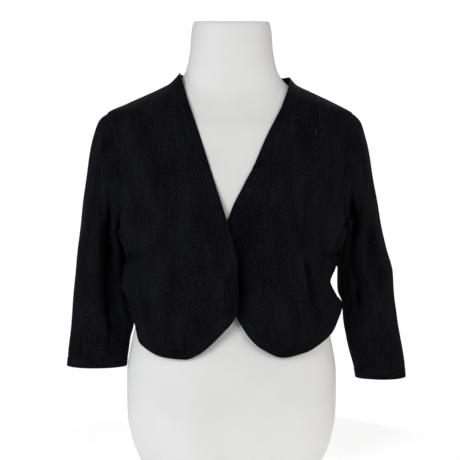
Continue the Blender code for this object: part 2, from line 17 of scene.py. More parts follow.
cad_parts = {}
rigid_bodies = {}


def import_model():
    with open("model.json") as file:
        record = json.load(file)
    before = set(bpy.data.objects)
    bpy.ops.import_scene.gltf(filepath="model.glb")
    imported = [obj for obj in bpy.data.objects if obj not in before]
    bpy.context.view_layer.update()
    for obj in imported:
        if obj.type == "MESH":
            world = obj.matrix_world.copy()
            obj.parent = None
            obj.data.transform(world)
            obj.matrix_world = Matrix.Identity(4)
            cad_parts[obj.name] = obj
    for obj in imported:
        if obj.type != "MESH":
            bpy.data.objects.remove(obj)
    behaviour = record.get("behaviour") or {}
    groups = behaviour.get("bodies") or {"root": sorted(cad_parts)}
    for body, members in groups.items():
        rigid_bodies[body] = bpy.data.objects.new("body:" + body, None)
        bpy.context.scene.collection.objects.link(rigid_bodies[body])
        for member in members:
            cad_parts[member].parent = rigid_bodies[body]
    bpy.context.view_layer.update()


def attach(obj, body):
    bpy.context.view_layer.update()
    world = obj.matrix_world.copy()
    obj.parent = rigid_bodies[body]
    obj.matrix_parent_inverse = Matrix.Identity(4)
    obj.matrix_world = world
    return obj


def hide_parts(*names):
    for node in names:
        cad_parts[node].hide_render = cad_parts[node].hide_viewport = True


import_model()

bl_info = {
    "name": "Knitted shrug on a dress form",
    "version": (1, 0, 0),
    "blender": (4, 5, 0),
    "location": "3D View > Sidebar > Shrug",
    "description": "Dresses the packed shrug in fine knit, with its creases, seams, lint and dress form",
    "category": "Object",
}

RIGHT = -1
LEFT = 1
WORDS = {RIGHT: "right", LEFT: "left"}

# Widths of the sewn bands, and how the fronts lie over each other and over the form.
FRONT_BAND = 0.019
HEM_BAND = 0.015
NECK_BAND = 0.02
LAP_DEPTH = 0.0115
LAP_REACH = (0.014, 0.042)
REST_GAP = 0.0022
SLOPE_STEP = 0.0005
# The share of the form's reach within which a point is too near the axis to be moved out, and the steps along the
# edge, in turn and in height over which a surface's slopes are measured.
NEAR_AXIS = 0.2
EDGE_STEP = 0.004
TURN_STEP = 0.01
HEIGHT_STEP = 0.002
# Heights between which the lap fades out, shares of the edge between which the front band narrows to the hem
# band, the neck's dip at the back, how far a seam's groove reaches, and where relief fades at the side seams.
LAP_FADE = (0.47, 0.52)
BAND_CHANGE = (0.55, 0.75)
NECK_DIP = 0.004
GROOVE_REACH = 0.0016
SIDE_FADE = (0.0, 0.2)
# Shares of a fold's or crease's length between which it comes in, and between which it goes out again.
FRONT_FOLD_FADE = (-0.2, 0.25, 0.85, 1.2)
SLEEVE_FOLD_FADE = (0.0, 0.35, 0.8, 1.05)
CREASE_FADE = (-0.06, 0.22, 0.74, 1.0)
# On a sleeve: how far a face turns to the front or back, and how many rings down, before relief is full.
FACING_FADE = (0.0, 0.35)
ARMHOLE_FADE = (0.0, 0.9)
SLANT_RINGS = 8
SLANT_FADE = (0.0, 4.0)

# How finely the cloth is divided, with closer lines beside its seams.
OUTLINE_CELLS = 176
ACROSS_CELLS = 52
BACK_HALF_CELLS = 48
SLEEVE_RINGS = 140
# Places of a sleeve's rings in rows of its table: the first ones, where the even ones start and how far before
# the table's end they stop, and the last ones before the cuff, also from the table's end.
FIRST_RINGS = (0.0, 0.05, 0.13)
EVEN_RINGS = (0.25, 1.16)
LAST_RINGS = (1.08, 1.03)
SHARP_CLOTH = 52
SHARP_FORM = 50
BAND_SHARES = (0.0, 0.07, 0.2, 0.4, 0.6, 0.8, 0.93)
NEAR_SEAM = (0.006, 0.018)
EVEN_SHARES = (0.04, 0.96)

# Horizontal sections of the worn cloth: half width on each side, depth to the front and to the back, and how
# square the front and the back are (2 is an ellipse).
CLOTH_NAMES = ("z", "half_right", "half_left", "front", "back", "square_front", "square_back")
CLOTH_SECTIONS = (
    (0.2, 0.18, 0.19, 0.119, 0.09, 2.15, 2.2),
    (0.24, 0.18, 0.188, 0.122, 0.091, 2.15, 2.2),
    (0.2645, 0.1725, 0.188, 0.1245, 0.092, 2.15, 2.2),
    (0.284, 0.172, 0.189, 0.126, 0.0925, 2.15, 2.2),
    (0.3, 0.1805, 0.179, 0.128, 0.0935, 2.15, 2.2),
    (0.325, 0.186, 0.1685, 0.131, 0.0945, 2.15, 2.2),
    (0.352, 0.1815, 0.1772, 0.1341, 0.096, 2.15, 2.2),
    (0.37, 0.1762, 0.1805, 0.1357, 0.0966, 2.2, 2.2),
    (0.388, 0.1812, 0.1802, 0.1378, 0.0977, 2.25, 2.2),
    (0.405, 0.1845, 0.186, 0.14, 0.099, 2.3, 2.2),
    (0.43, 0.193, 0.198, 0.1415, 0.101, 2.3, 2.2),
    (0.456, 0.201, 0.204, 0.14, 0.103, 2.25, 2.2),
    (0.5, 0.212, 0.212, 0.126, 0.1045, 2.15, 2.15),
    (0.55, 0.219, 0.217, 0.104, 0.101, 2.05, 2.1),
    (0.586, 0.2175, 0.214, 0.0885, 0.093, 1.95, 2.0),
    (0.608, 0.209, 0.2035, 0.077, 0.085, 1.85, 1.9),
    (0.6256, 0.1735, 0.1725, 0.069, 0.079, 1.85, 1.9),
    (0.646, 0.1275, 0.129, 0.06, 0.072, 1.9, 2.0),
    (0.656, 0.107, 0.1085, 0.0585, 0.069, 1.95, 2.0),
    (0.668, 0.0935, 0.0975, 0.0585, 0.0665, 2.0, 2.0),
    (0.676, 0.087, 0.0905, 0.0585, 0.065, 2.0, 2.0),
)

# The free edge of each front, from the neck down, round the lower corner and along the hem to the side:
# distance out from the centre, and height. A negative distance lies past the centre.
OUTLINE_NAMES = ("out", "z")
OUTLINE_ROWS = {
    RIGHT: (
        (0.087, 0.676), (0.0725, 0.631), (0.0563, 0.5856), (0.033, 0.515), (0.0135, 0.4558),
        (0.0, 0.41), (-0.0071, 0.3733), (-0.0103, 0.324), (-0.01, 0.299), (-0.0035, 0.278),
        (0.0145, 0.256), (0.0326, 0.237), (0.0565, 0.218), (0.0775, 0.21), (0.1098, 0.2115),
        (0.1335, 0.219), (0.1525, 0.2315), (0.16, 0.254), (0.172, 0.284),
    ),
    LEFT: (
        (0.101, 0.668), (0.0835, 0.6217), (0.0578, 0.5724), (0.0362, 0.5244), (-0.001, 0.4508),
        (-0.009, 0.42), (-0.0119, 0.3733), (-0.0095, 0.324), (-0.001, 0.297), (0.0095, 0.278),
        (0.029, 0.247), (0.0534, 0.2265), (0.0853, 0.2135), (0.1175, 0.218), (0.143, 0.229),
        (0.1685, 0.249), (0.189, 0.284),
    ),
}

# The armholes: the shoulder point above, the underarm below, and how far the seam is scooped in between.
ARMHOLES = {
    RIGHT: {"top": (0.209, 0.608), "under": (0.1883, 0.417), "scoop_front": 0.014, "scoop_back": 0.009},
    LEFT: {"top": (0.2035, 0.608), "under": (0.192, 0.417), "scoop_front": 0.013, "scoop_back": 0.009},
}

# Rings of each sleeve from the armhole down: its outer and inner ends as (out, z), the middle and half of its
# depth along Y, and how far round the ring has left the armhole's own line. The last row ends the cuff.
SLEEVE_NAMES = ("outer", "outer_z", "inner", "inner_z", "mid_y", "half_depth", "follow")
SLEEVE_ROWS = {
    RIGHT: (
        (0.209, 0.608, 0.1883, 0.417, 0.0, 0.052, 1.0),
        (0.222, 0.596, 0.1945, 0.408, 0.0005, 0.056, 0.75),
        (0.232, 0.57, 0.193, 0.399, 0.006, 0.0595, 0.45),
        (0.2395, 0.54, 0.189, 0.389, 0.013, 0.061, 0.25),
        (0.2465, 0.505, 0.186, 0.377, 0.02, 0.06, 0.1),
        (0.2525, 0.465, 0.184, 0.364, 0.023, 0.057, 0.0),
        (0.259, 0.42, 0.1835, 0.347, 0.025, 0.053, 0.0),
        (0.265, 0.364, 0.1845, 0.3275, 0.026, 0.048, 0.0),
        (0.2705, 0.314, 0.182, 0.303, 0.024, 0.043, 0.0),
        (0.2735, 0.277, 0.1765, 0.276, 0.02, 0.038, 0.0),
        (0.2755, 0.25, 0.168, 0.25, 0.014, 0.034, 0.0),
        (0.277, 0.223, 0.1745, 0.224, 0.007, 0.031, 0.0),
        (0.2785, 0.194, 0.1785, 0.194, 0.0, 0.029, 0.0),
        (0.28, 0.1795, 0.18, 0.18, -0.002, 0.029, 0.0),
    ),
    LEFT: (
        (0.2035, 0.608, 0.192, 0.417, 0.0, 0.052, 1.0),
        (0.217, 0.595, 0.1975, 0.408, 0.0005, 0.056, 0.75),
        (0.226, 0.567, 0.1955, 0.399, 0.006, 0.0595, 0.45),
        (0.233, 0.538, 0.191, 0.389, 0.012, 0.061, 0.25),
        (0.2405, 0.502, 0.1875, 0.377, 0.018, 0.06, 0.1),
        (0.248, 0.46, 0.185, 0.364, 0.02, 0.057, 0.0),
        (0.2555, 0.418, 0.1835, 0.347, 0.022, 0.053, 0.0),
        (0.2645, 0.377, 0.183, 0.326, 0.023, 0.049, 0.0),
        (0.2775, 0.334, 0.184, 0.306, 0.023, 0.045, 0.0),
        (0.28, 0.296, 0.192, 0.283, 0.022, 0.041, 0.0),
        (0.285, 0.26, 0.1935, 0.255, 0.016, 0.037, 0.0),
        (0.291, 0.225, 0.199, 0.226, 0.008, 0.033, 0.0),
        (0.2975, 0.1765, 0.211, 0.176, 0.0, 0.03, 0.0),
        (0.2985, 0.1605, 0.214, 0.16, -0.001, 0.03, 0.0),
    ),
}

# The largest folds of each sleeve: the place round it in degrees from the underarm over the front at the upper
# and the lower end, their heights, how far the cloth moves out (in, where negative), and the half width.
SLEEVE_FOLDS = {
    RIGHT: (
        (66.0, 60.0, 0.585, 0.2, -0.019, 18.0),
        (64.0, 56.0, 0.575, 0.2, -0.0155, 9.0),
        (38.0, 36.0, 0.455, 0.262, 0.0085, 8.0),
        (15.0, 16.0, 0.43, 0.285, -0.013, 10.0),
        (118.0, 112.0, 0.56, 0.3, -0.0045, 15.0),
        (334.0, 336.0, 0.432, 0.318, 0.017, 15.0),
        (338.0, 336.0, 0.33, 0.262, 0.0085, 12.0),
        (300.0, 308.0, 0.47, 0.24, -0.007, 15.0),
        (240.0, 236.0, 0.54, 0.33, -0.005, 15.0),
    ),
    LEFT: (
        (72.0, 58.0, 0.49, 0.262, -0.015, 14.0),
        (70.0, 54.0, 0.49, 0.262, -0.009, 6.0),
        (42.0, 34.0, 0.47, 0.3, 0.0055, 8.0),
        (128.0, 108.0, 0.44, 0.3, -0.007, 11.0),
        (334.0, 338.0, 0.436, 0.346, 0.018, 15.0),
        (300.0, 304.0, 0.48, 0.26, -0.007, 15.0),
        (236.0, 230.0, 0.53, 0.32, -0.0055, 15.0),
    ),
}

# The largest folds of the fronts, as lines seen from the front: upper and lower end as (out, z), how far the
# cloth moves forward (back, where negative), and the half width.
FRONT_FOLDS = {
    RIGHT: (
        (0.152, 0.36, 0.14, 0.25, 0.0045, 0.009),
        (0.112, 0.39, 0.106, 0.245, 0.003, 0.011),
        (0.13, 0.38, 0.123, 0.25, -0.003, 0.009),
    ),
    LEFT: (
        (0.118, 0.39, 0.128, 0.29, -0.005, 0.0085),
        (0.104, 0.39, 0.108, 0.27, 0.0035, 0.009),
    ),
}

# Creases, each a line of (out, z) places seen straight on, with how far the cloth rises there (sinks, where
# negative) and the half width at the line's start and end. On the back the first number is x itself.
CREASES = {
    "front_right": (
        (((0.159, 0.368), (0.153, 0.325), (0.145, 0.24)), 0.0034, 0.0042, 0.0052),
        (((0.145, 0.352), (0.138, 0.29), (0.133, 0.24)), -0.0034, 0.0052, 0.0065),
        (((0.118, 0.345), (0.112, 0.29), (0.106, 0.23)), 0.0024, 0.005, 0.0065),
        (((0.098, 0.34), (0.093, 0.24)), -0.0018, 0.0065, 0.0065),
        (((0.0805, 0.252), (0.078, 0.214)), 0.0016, 0.0024, 0.003),
        (((0.074, 0.246), (0.0722, 0.217)), -0.0013, 0.002, 0.0026),
        (((0.087, 0.24), (0.0855, 0.218)), -0.0011, 0.002, 0.0026),
        (((0.16, 0.606), (0.1588, 0.568)), -0.0022, 0.004, 0.005),
        (((0.192, 0.44), (0.165, 0.466), (0.133, 0.487)), -0.003, 0.006, 0.0105),
        (((0.19, 0.468), (0.16, 0.507)), 0.0022, 0.006, 0.009),
        (((0.19, 0.3695), (0.164, 0.372), (0.142, 0.377)), -0.008, 0.0075, 0.0055),
        (((0.188, 0.322), (0.16, 0.314)), 0.003, 0.011, 0.01),
        (((0.178, 0.286), (0.156, 0.297)), -0.0042, 0.006, 0.005),
        (((0.06, 0.515), (0.051, 0.43), (0.045, 0.34)), -0.0018, 0.012, 0.014),
        (((0.093, 0.57), (0.101, 0.49)), -0.0016, 0.012, 0.014),
    ),
    "front_left": (
        (
            ((0.116, 0.384), (0.124, 0.352), (0.1306, 0.316), (0.134, 0.29), (0.1488, 0.27), (0.165, 0.264)),
            -0.007, 0.0036, 0.0062,
        ),
        (((0.1095, 0.38), (0.112, 0.32), (0.111, 0.242)), 0.0036, 0.005, 0.006),
        (((0.022, 0.446), (0.0085, 0.404)), 0.0022, 0.0028, 0.0032),
        (((0.035, 0.458), (0.014, 0.405), (0.008, 0.35), (0.012, 0.28)), -0.0105, 0.007, 0.011),
        (((0.043, 0.41), (0.035, 0.36), (0.036, 0.3)), 0.0028, 0.008, 0.009),
        (((0.08, 0.427), (0.11, 0.4245), (0.142, 0.43)), -0.0018, 0.0032, 0.0042),
        (((0.19, 0.3715), (0.165, 0.374), (0.145, 0.38)), -0.008, 0.0075, 0.0055),
        (((0.098, 0.37), (0.095, 0.25)), -0.0018, 0.007, 0.007),
        (((0.1455, 0.572), (0.144, 0.495)), -0.0018, 0.0045, 0.0065),
        (((0.155, 0.406), (0.153, 0.364)), -0.0024, 0.0034, 0.0042),
        (((0.196, 0.442), (0.17, 0.466), (0.14, 0.482)), -0.003, 0.006, 0.0105),
        (((0.157, 0.34), (0.15, 0.296)), 0.0028, 0.006, 0.006),
        (((0.056, 0.505), (0.062, 0.43), (0.06, 0.32)), -0.0018, 0.012, 0.014),
    ),
    "back": (
        (((-0.168, 0.446), (-0.112, 0.402), (-0.058, 0.377)), -0.0024, 0.007, 0.012),
        (((0.172, 0.451), (0.121, 0.416), (0.048, 0.396)), -0.002, 0.008, 0.013),
        (((-0.152, 0.366), (-0.06, 0.346), (0.022, 0.351)), 0.0022, 0.008, 0.012),
        (((0.166, 0.361), (0.091, 0.336), (0.008, 0.329)), -0.0024, 0.007, 0.011),
        (((-0.171, 0.327), (-0.08, 0.311)), -0.002, 0.0065, 0.01),
        (((0.15, 0.392), (0.08, 0.372)), 0.0014, 0.007, 0.01),
        (((-0.03, 0.565), (-0.021, 0.48), (-0.027, 0.4)), -0.0013, 0.013, 0.016),
        (((0.083, 0.605), (0.111, 0.52)), 0.0013, 0.013, 0.015),
        (((-0.094, 0.596), (-0.121, 0.505)), 0.0011, 0.013, 0.015),
        (((0.121, 0.315), (0.117, 0.282)), 0.0016, 0.005, 0.0065),
        (((-0.06, 0.322), (-0.057, 0.281)), -0.0014, 0.005, 0.0065),
    ),
    "sleeve_right_front": (
        (
            ((0.209, 0.596), (0.2137, 0.557), (0.2137, 0.532), (0.2065, 0.492), (0.2046, 0.44)),
            0.0042, 0.0048, 0.0042,
        ),
        (((0.2215, 0.553), (0.221, 0.49), (0.217, 0.42)), -0.0058, 0.0055, 0.0065),
        (((0.211, 0.42), (0.2085, 0.33), (0.206, 0.245)), -0.0055, 0.006, 0.007),
        (((0.207, 0.442), (0.194, 0.362), (0.189, 0.312), (0.187, 0.272)), 0.0048, 0.0034, 0.004),
        (((0.2545, 0.245), (0.254, 0.19)), -0.0024, 0.0026, 0.0032),
        (((0.192, 0.27), (0.191, 0.195)), -0.0045, 0.01, 0.012),
        (((0.232, 0.316), (0.264, 0.287)), -0.0022, 0.0045, 0.0055),
        (((0.224, 0.35), (0.252, 0.331)), 0.002, 0.005, 0.006),
        (((0.222, 0.217), (0.22, 0.184)), 0.0011, 0.0034, 0.004),
        (((0.24, 0.212), (0.242, 0.184)), -0.0009, 0.0034, 0.004),
        (((0.238, 0.48), (0.247, 0.395)), 0.0024, 0.006, 0.007),
    ),
    "sleeve_left_front": (
        (
            ((0.203, 0.6), (0.2097, 0.575), (0.218, 0.54), (0.2231, 0.509), (0.2215, 0.476), (0.2165, 0.443),
             (0.214, 0.401)),
            0.0046, 0.0046, 0.0044,
        ),
        (((0.2145, 0.415), (0.2123, 0.378), (0.2101, 0.285)), 0.0046, 0.0038, 0.0042),
        (
            ((0.1967, 0.353), (0.1985, 0.312), (0.2003, 0.292), (0.2043, 0.278), (0.2143, 0.273)),
            -0.008, 0.0042, 0.0048,
        ),
        (((0.2343, 0.425), (0.234, 0.32)), -0.0095, 0.008, 0.009),
        (((0.2393, 0.318), (0.24, 0.24)), 0.0042, 0.0065, 0.0075),
        (((0.241, 0.3), (0.256, 0.244)), -0.0026, 0.0026, 0.003),
        (((0.213, 0.197), (0.248, 0.186)), -0.0018, 0.0026, 0.003),
        (((0.2, 0.505), (0.202, 0.449), (0.201, 0.4)), -0.0095, 0.0065, 0.008),
        (((0.252, 0.385), (0.268, 0.345)), -0.0026, 0.005, 0.006),
    ),
    "sleeve_right_back": (
        (((0.235, 0.52), (0.24, 0.44), (0.238, 0.38)), -0.0027, 0.007, 0.0085),
        (((0.215, 0.387), (0.256, 0.361)), -0.0024, 0.0055, 0.0065),
        (((0.21, 0.352), (0.258, 0.331)), 0.002, 0.0055, 0.0065),
        (((0.205, 0.326), (0.262, 0.301)), -0.0022, 0.0048, 0.006),
        (((0.235, 0.241), (0.238, 0.188)), -0.0011, 0.0036, 0.0044),
    ),
    "sleeve_left_back": (
        (((0.23, 0.53), (0.236, 0.45), (0.233, 0.392)), -0.0025, 0.007, 0.0085),
        (((0.21, 0.378), (0.26, 0.352)), -0.0026, 0.0055, 0.0065),
        (((0.208, 0.347), (0.266, 0.326)), 0.0021, 0.0055, 0.0065),
        (((0.212, 0.312), (0.27, 0.293)), -0.0019, 0.0048, 0.006),
        (((0.248, 0.232), (0.25, 0.17)), 0.0012, 0.004, 0.0048),
    ),
}

# The cloth's slight unevenness: waves across and along in radians a metre, a start, and a height.
UNEVEN_WAVES = (
    (61.0, 17.0, 0.4, 0.0006),
    (97.0, -29.0, 2.1, 0.00045),
    (143.0, 41.0, 4.4, 0.00034),
    (38.0, 71.0, 1.3, 0.00042),
    (211.0, -13.0, 5.2, 0.00016),
)

# Where the waves start on the fronts and the back, and an arm's radius and the tilt of its waves.
FRONT_WAVES = 0.7
BACK_WAVES = 3.1
ARM_RADIUS = 0.045
ARM_TILT = 0.02

# Horizontal sections of the dress form: half width, depth to the front and to the back, squareness.
FORM_NAMES = ("z", "half", "front", "back", "square")
FORM_SECTIONS = (
    (0.0, 0.139, 0.088, 0.096, 2.2),
    (0.006, 0.149, 0.097, 0.106, 2.2),
    (0.025, 0.16, 0.106, 0.116, 2.2),
    (0.06, 0.172, 0.113, 0.124, 2.2),
    (0.1, 0.1785, 0.116, 0.128, 2.2),
    (0.135, 0.179, 0.116, 0.128, 2.2),
    (0.173, 0.1785, 0.114, 0.123, 2.2),
    (0.204, 0.174, 0.111, 0.113, 2.2),
    (0.225, 0.17, 0.108, 0.105, 2.2),
    (0.245, 0.165, 0.105, 0.096, 2.2),
    (0.265, 0.156, 0.102, 0.087, 2.2),
    (0.29, 0.145, 0.099, 0.081, 2.2),
    (0.325, 0.138, 0.1, 0.08, 2.2),
    (0.36, 0.143, 0.109, 0.085, 2.2),
    (0.39, 0.152, 0.119, 0.091, 2.25),
    (0.42, 0.162, 0.128, 0.096, 2.25),
    (0.45, 0.172, 0.1285, 0.099, 2.2),
    (0.5, 0.188, 0.1205, 0.1005, 2.15),
    (0.55, 0.206, 0.1005, 0.0975, 2.05),
    (0.586, 0.211, 0.085, 0.0895, 1.95),
    (0.6058, 0.2025, 0.0715, 0.0825, 1.85),
    (0.6233, 0.1695, 0.061, 0.0755, 1.85),
    (0.6435, 0.121, 0.052, 0.067, 1.9),
    (0.6525, 0.0985, 0.05, 0.064, 1.95),
    (0.664, 0.086, 0.05, 0.061, 2.0),
    (0.678, 0.0775, 0.051, 0.058, 2.0),
    (0.696, 0.0725, 0.0525, 0.057, 2.0),
    (0.718, 0.069, 0.054, 0.057, 2.0),
    (0.74, 0.0675, 0.055, 0.058, 2.0),
    (0.756, 0.065, 0.054, 0.057, 2.0),
    (0.762, 0.062, 0.051, 0.054, 2.0),
)
# The neck's open top: a rim that leans forward round a shallow recess.
RIM_WIDTH = 0.004
RECESS_DEPTH = 0.01
RIM_TILT = 0.09
RIM_START = 0.718
FORM_SEGMENTS = 128
FORM_RINGS = 150
# Heights with a ring of their own, where the form turns in, and the rim's rings as (inset, drop).
EXTRA_LEVELS = (0.0015, 0.003, 0.006, 0.0575, 0.7575, 0.759, 0.7605, 0.7614)
RIM_RINGS = (
    (0.0008, -0.0003), (0.0022, -0.0004), (0.0034, -0.0001), (RIM_WIDTH, 0.001),
    (RIM_WIDTH + 0.0002, RECESS_DEPTH - 0.0015), (RIM_WIDTH + 0.0016, RECESS_DEPTH),
)

# Stray fibres that show in front: where each lies seen straight on as x and z, its lean in degrees, its length.
LINT = (
    (-0.0942, 0.4883, 35.0, 0.0036),
    (0.1386, 0.579, 84.0, 0.0105),
    (-0.059, 0.3869, 70.0, 0.0026),
    (-0.1166, 0.2845, 20.0, 0.0026),
    (0.0437, 0.3967, 120.0, 0.003),
    (0.2161, 0.1903, 50.0, 0.0028),
    (0.0549, 0.4311, 10.0, 0.0024),
    (0.0574, 0.33, 80.0, 0.0028),
    (0.0868, 0.3254, 140.0, 0.0024),
    (0.1106, 0.3079, 45.0, 0.0026),
)
LINT_WIDTH = 0.00017
MORE_LINT = 90
LINT_SEED = 11
LINT_BOW = 0.18
# Where the scattered fibres may lie, their lengths, their widths as shares of the shown ones', and their bows.
SCATTER_X = (-0.28, 0.28)
SCATTER_Z = (0.18, 0.64)
SCATTER_LENGTH = (0.0012, 0.0042)
SCATTER_WIDTH = (0.45, 0.8)
SCATTER_BOW = (-0.4, 0.4)
FIBRE_STEPS = 8
FIBRE_SIDES = 5
FIBRE_LIFT = 0.06
FIBRE_TAPER = 0.6

# Each cloth piece: its slot, and the size it is cut to, as the width and length of the flat piece and its area.
CUT_NAMES = ("slot", "width", "length", "area")
CUTS = {
    "front_right": ("knit", 0.257, 0.437, 0.0786),
    "front_left": ("knit", 0.262, 0.426, 0.0778),
    "back": ("knit", 0.478, 0.365, 0.1589),
    "sleeve_right": ("knit", 0.42, 0.43, 0.111),
    "sleeve_left": ("knit", 0.42, 0.45, 0.11),
    "cuff_right": ("band", 0.015, 0.25, 0.0037),
    "cuff_left": ("band", 0.016, 0.233, 0.0037),
    "front_band_right": ("band", 0.019, 0.755, 0.013),
    "front_band_left": ("band", 0.019, 0.752, 0.0135),
    "neck_band_back": ("band", 0.022, 0.276, 0.0059),
    "hem_band_back": ("band", 0.014, 0.454, 0.006),
}


def level_slopes(keys, values):
    """The slope at each row that keeps a cubic through the rows from overshooting."""
    steps = np.diff(values) / np.diff(keys)
    before, after = steps[:-1], steps[1:]
    same_way = before * after > 0
    total = np.where(same_way, before + after, 1.0)
    inner = np.where(same_way, 2 * before * after / total, 0.0)
    return np.concatenate((steps[:1], inner, steps[-1:]))


class Table:
    """Named columns against one key, read anywhere by a smooth cubic through the rows."""

    def __init__(self, names, rows, keys=None):
        columns = np.array(rows, float).T
        self.keys = columns[0] if keys is None else np.array(keys, float)
        self.columns = dict(zip(names, columns))
        self.slopes = {name: level_slopes(self.keys, values) for name, values in self.columns.items()}

    def read(self, name, where):
        keys, values, slopes = self.keys, self.columns[name], self.slopes[name]
        where = np.clip(where, keys[0], keys[-1])
        i = np.clip(np.searchsorted(keys, where) - 1, 0, len(keys) - 2)
        span = keys[i + 1] - keys[i]
        t = (where - keys[i]) / span
        start = (1 + 2 * t) * (1 - t) ** 2 * values[i] + t * (1 - t) ** 2 * span * slopes[i]
        end = t * t * (3 - 2 * t) * values[i + 1] - t * t * (1 - t) * span * slopes[i + 1]
        return start + end


def by_chord(names, rows):
    """A free curve through the rows, keyed by the length along its chords from 0 to 1."""
    lengths = running_length(np.array(rows, float))
    return Table(names, rows, lengths / lengths[-1])


def running_length(points):
    steps = np.linalg.norm(np.diff(points, axis=0), axis=1)
    return np.concatenate(([0.0], np.cumsum(steps)))


CLOTH = Table(CLOTH_NAMES, CLOTH_SECTIONS)
FORM = Table(FORM_NAMES, FORM_SECTIONS)
OUTLINES = {side: by_chord(OUTLINE_NAMES, OUTLINE_ROWS[side]) for side in (RIGHT, LEFT)}
SLEEVES = {side: Table(SLEEVE_NAMES, rows, range(len(rows))) for side, rows in SLEEVE_ROWS.items()}


def smooth_step(low, high, value):
    t = np.clip((value - low) / (high - low), 0.0, 1.0)
    return t * t * (3 - 2 * t)


def in_and_out(fade, share):
    """Rises from 0 to 1 between the first two shares, and falls back between the last two."""
    return smooth_step(fade[0], fade[1], share) * (1 - smooth_step(fade[2], fade[3], share))


def seam_shares(cells):
    """Shares of a length from 0 to 1, closer together beside both ends."""
    near = np.array(NEAR_SEAM)
    middle = np.linspace(*EVEN_SHARES, cells - 5)
    return np.concatenate(([0.0], near, middle, 1 - near[::-1], [1.0]))


OUTLINE_SHARES = seam_shares(OUTLINE_CELLS)
ACROSS_SHARES = seam_shares(ACROSS_CELLS)
BAND_LINES = len(BAND_SHARES)


def half_width(side, z):
    return CLOTH.read("half_right" if side == RIGHT else "half_left", z)


def turn_at(side, out, z, square):
    """The turn round the body, in radians from the centre line, at a distance out from the centre."""
    ratio = np.minimum(np.abs(out) / half_width(side, z), 1.0)
    return np.copysign(np.arcsin(ratio ** (square / 2)), out)


def form_reach(x, y, z):
    """1 on the dress form's surface, less inside and more outside."""
    square = FORM.read("square", z)
    across = np.abs(x) / FORM.read("half", z)
    depth = np.where(y < 0, FORM.read("front", z), FORM.read("back", z))
    return (across ** square + (np.abs(y) / depth) ** square) ** (1 / square)


def clear_of_form(points):
    """Moves points of the cloth straight out from the body's axis until they clear the dress form."""
    x, y, z = points[..., 0], points[..., 1], points[..., 2]
    reach = form_reach(x, y, z)
    slopes = [
        form_reach(x + SLOPE_STEP, y, z) - form_reach(x - SLOPE_STEP, y, z),
        form_reach(x, y + SLOPE_STEP, z) - form_reach(x, y - SLOPE_STEP, z),
        form_reach(x, y, z + SLOPE_STEP) - form_reach(x, y, z - SLOPE_STEP),
    ]
    wanted = 1.0 + REST_GAP * np.sqrt(sum(s * s for s in slopes)) / (2 * SLOPE_STEP)
    near = (reach > NEAR_AXIS) & (reach < wanted)
    scale = np.where(near, wanted / np.maximum(reach, NEAR_AXIS), 1.0)
    return np.stack((x * scale, y * scale, z), axis=-1)


def front_folds(side, out, z):
    """How far the largest folds move the front at a place seen from the front."""
    total = np.zeros(np.shape(out))
    for out_top, z_top, out_bottom, z_bottom, move, width in FRONT_FOLDS[side]:
        along = (z_top - z) / (z_top - z_bottom)
        middle = out_top + (out_bottom - out_top) * along
        total += move * in_and_out(FRONT_FOLD_FADE, along) * np.exp(-(((out - middle) / width) ** 2))
    return total


def front_surface(side, turn, z):
    """Points of a front's middle surface, from the turn round the body and the height."""
    square = CLOTH.read("square_front", z)
    out = np.copysign(half_width(side, z) * np.abs(np.sin(turn)) ** (2 / square), turn)
    depth = CLOTH.read("front", z) * np.maximum(np.cos(turn), 0.0) ** (2 / square)
    depth = depth + front_folds(side, out, z) * np.cos(turn)
    if side == LEFT:
        depth = depth - LAP_DEPTH * (1 - smooth_step(*LAP_REACH, out)) * (1 - smooth_step(*LAP_FADE, z))
    return clear_of_form(np.stack((side * out, -depth, z), axis=-1))


def back_surface(side, turn, z):
    square = CLOTH.read("square_back", z)
    out = half_width(side, z) * np.sin(turn) ** (2 / square)
    depth = CLOTH.read("back", z) * np.maximum(np.cos(turn), 0.0) ** (2 / square)
    return clear_of_form(np.stack((side * out, depth, z), axis=-1))


def armhole(side, turn, scoop):
    """The armhole's seam as (out, z), from the underarm at 0 to the shoulder point at pi."""
    hole = ARMHOLES[side]
    rise = (1 - np.cos(turn)) / 2
    out = hole["under"][0] + (hole["top"][0] - hole["under"][0]) * rise
    z = hole["under"][1] + (hole["top"][1] - hole["under"][1]) * rise
    return out - hole[scoop] * np.sin(turn) ** 2, z


def seam_heights(side, start, end, band):
    """Heights of the seam points on a line at the side of the body, the first lines being a band's."""
    heights = np.linspace(start, end, 241)
    lengths = running_length(np.stack((half_width(side, heights), heights), axis=1))
    shares = np.concatenate((np.array(BAND_SHARES) * band, band + ACROSS_SHARES * (lengths[-1] - band)))
    return np.interp(shares, lengths, heights)


def outline_place(side, u):
    """A front's free edge as (turn, z)."""
    out = OUTLINES[side].read("out", u)
    z = OUTLINES[side].read("z", u)
    return np.stack((turn_at(side, out, z, CLOTH.read("square_front", z)), z), axis=-1)


def inset_place(side, u, width):
    """The places a width in from a front's free edge, measured on the surface."""
    here = outline_place(side, u)
    before = front_surface(side, *outline_place(side, np.maximum(u - EDGE_STEP, 0.0)).T)
    after = front_surface(side, *outline_place(side, np.minimum(u + EDGE_STEP, 1.0)).T)
    along = unit(after - before)
    base = front_surface(side, *here.T)
    by_turn = (front_surface(side, here[:, 0] + TURN_STEP, here[:, 1]) - base) / TURN_STEP
    by_height = (front_surface(side, here[:, 0], here[:, 1] + HEIGHT_STEP) - base) / HEIGHT_STEP
    inward = np.cross(unit(np.cross(by_turn, by_height)), along)
    a = dot(by_turn, by_turn)
    b = dot(by_turn, by_height)
    c = dot(by_height, by_height)
    p = dot(by_turn, inward)
    q = dot(by_height, inward)
    solved = np.stack((c * p - b * q, a * q - b * p), axis=1) / (a * c - b * b)[:, None]
    return here + solved * width[:, None]


def dot(a, b):
    return np.sum(a * b, axis=-1)


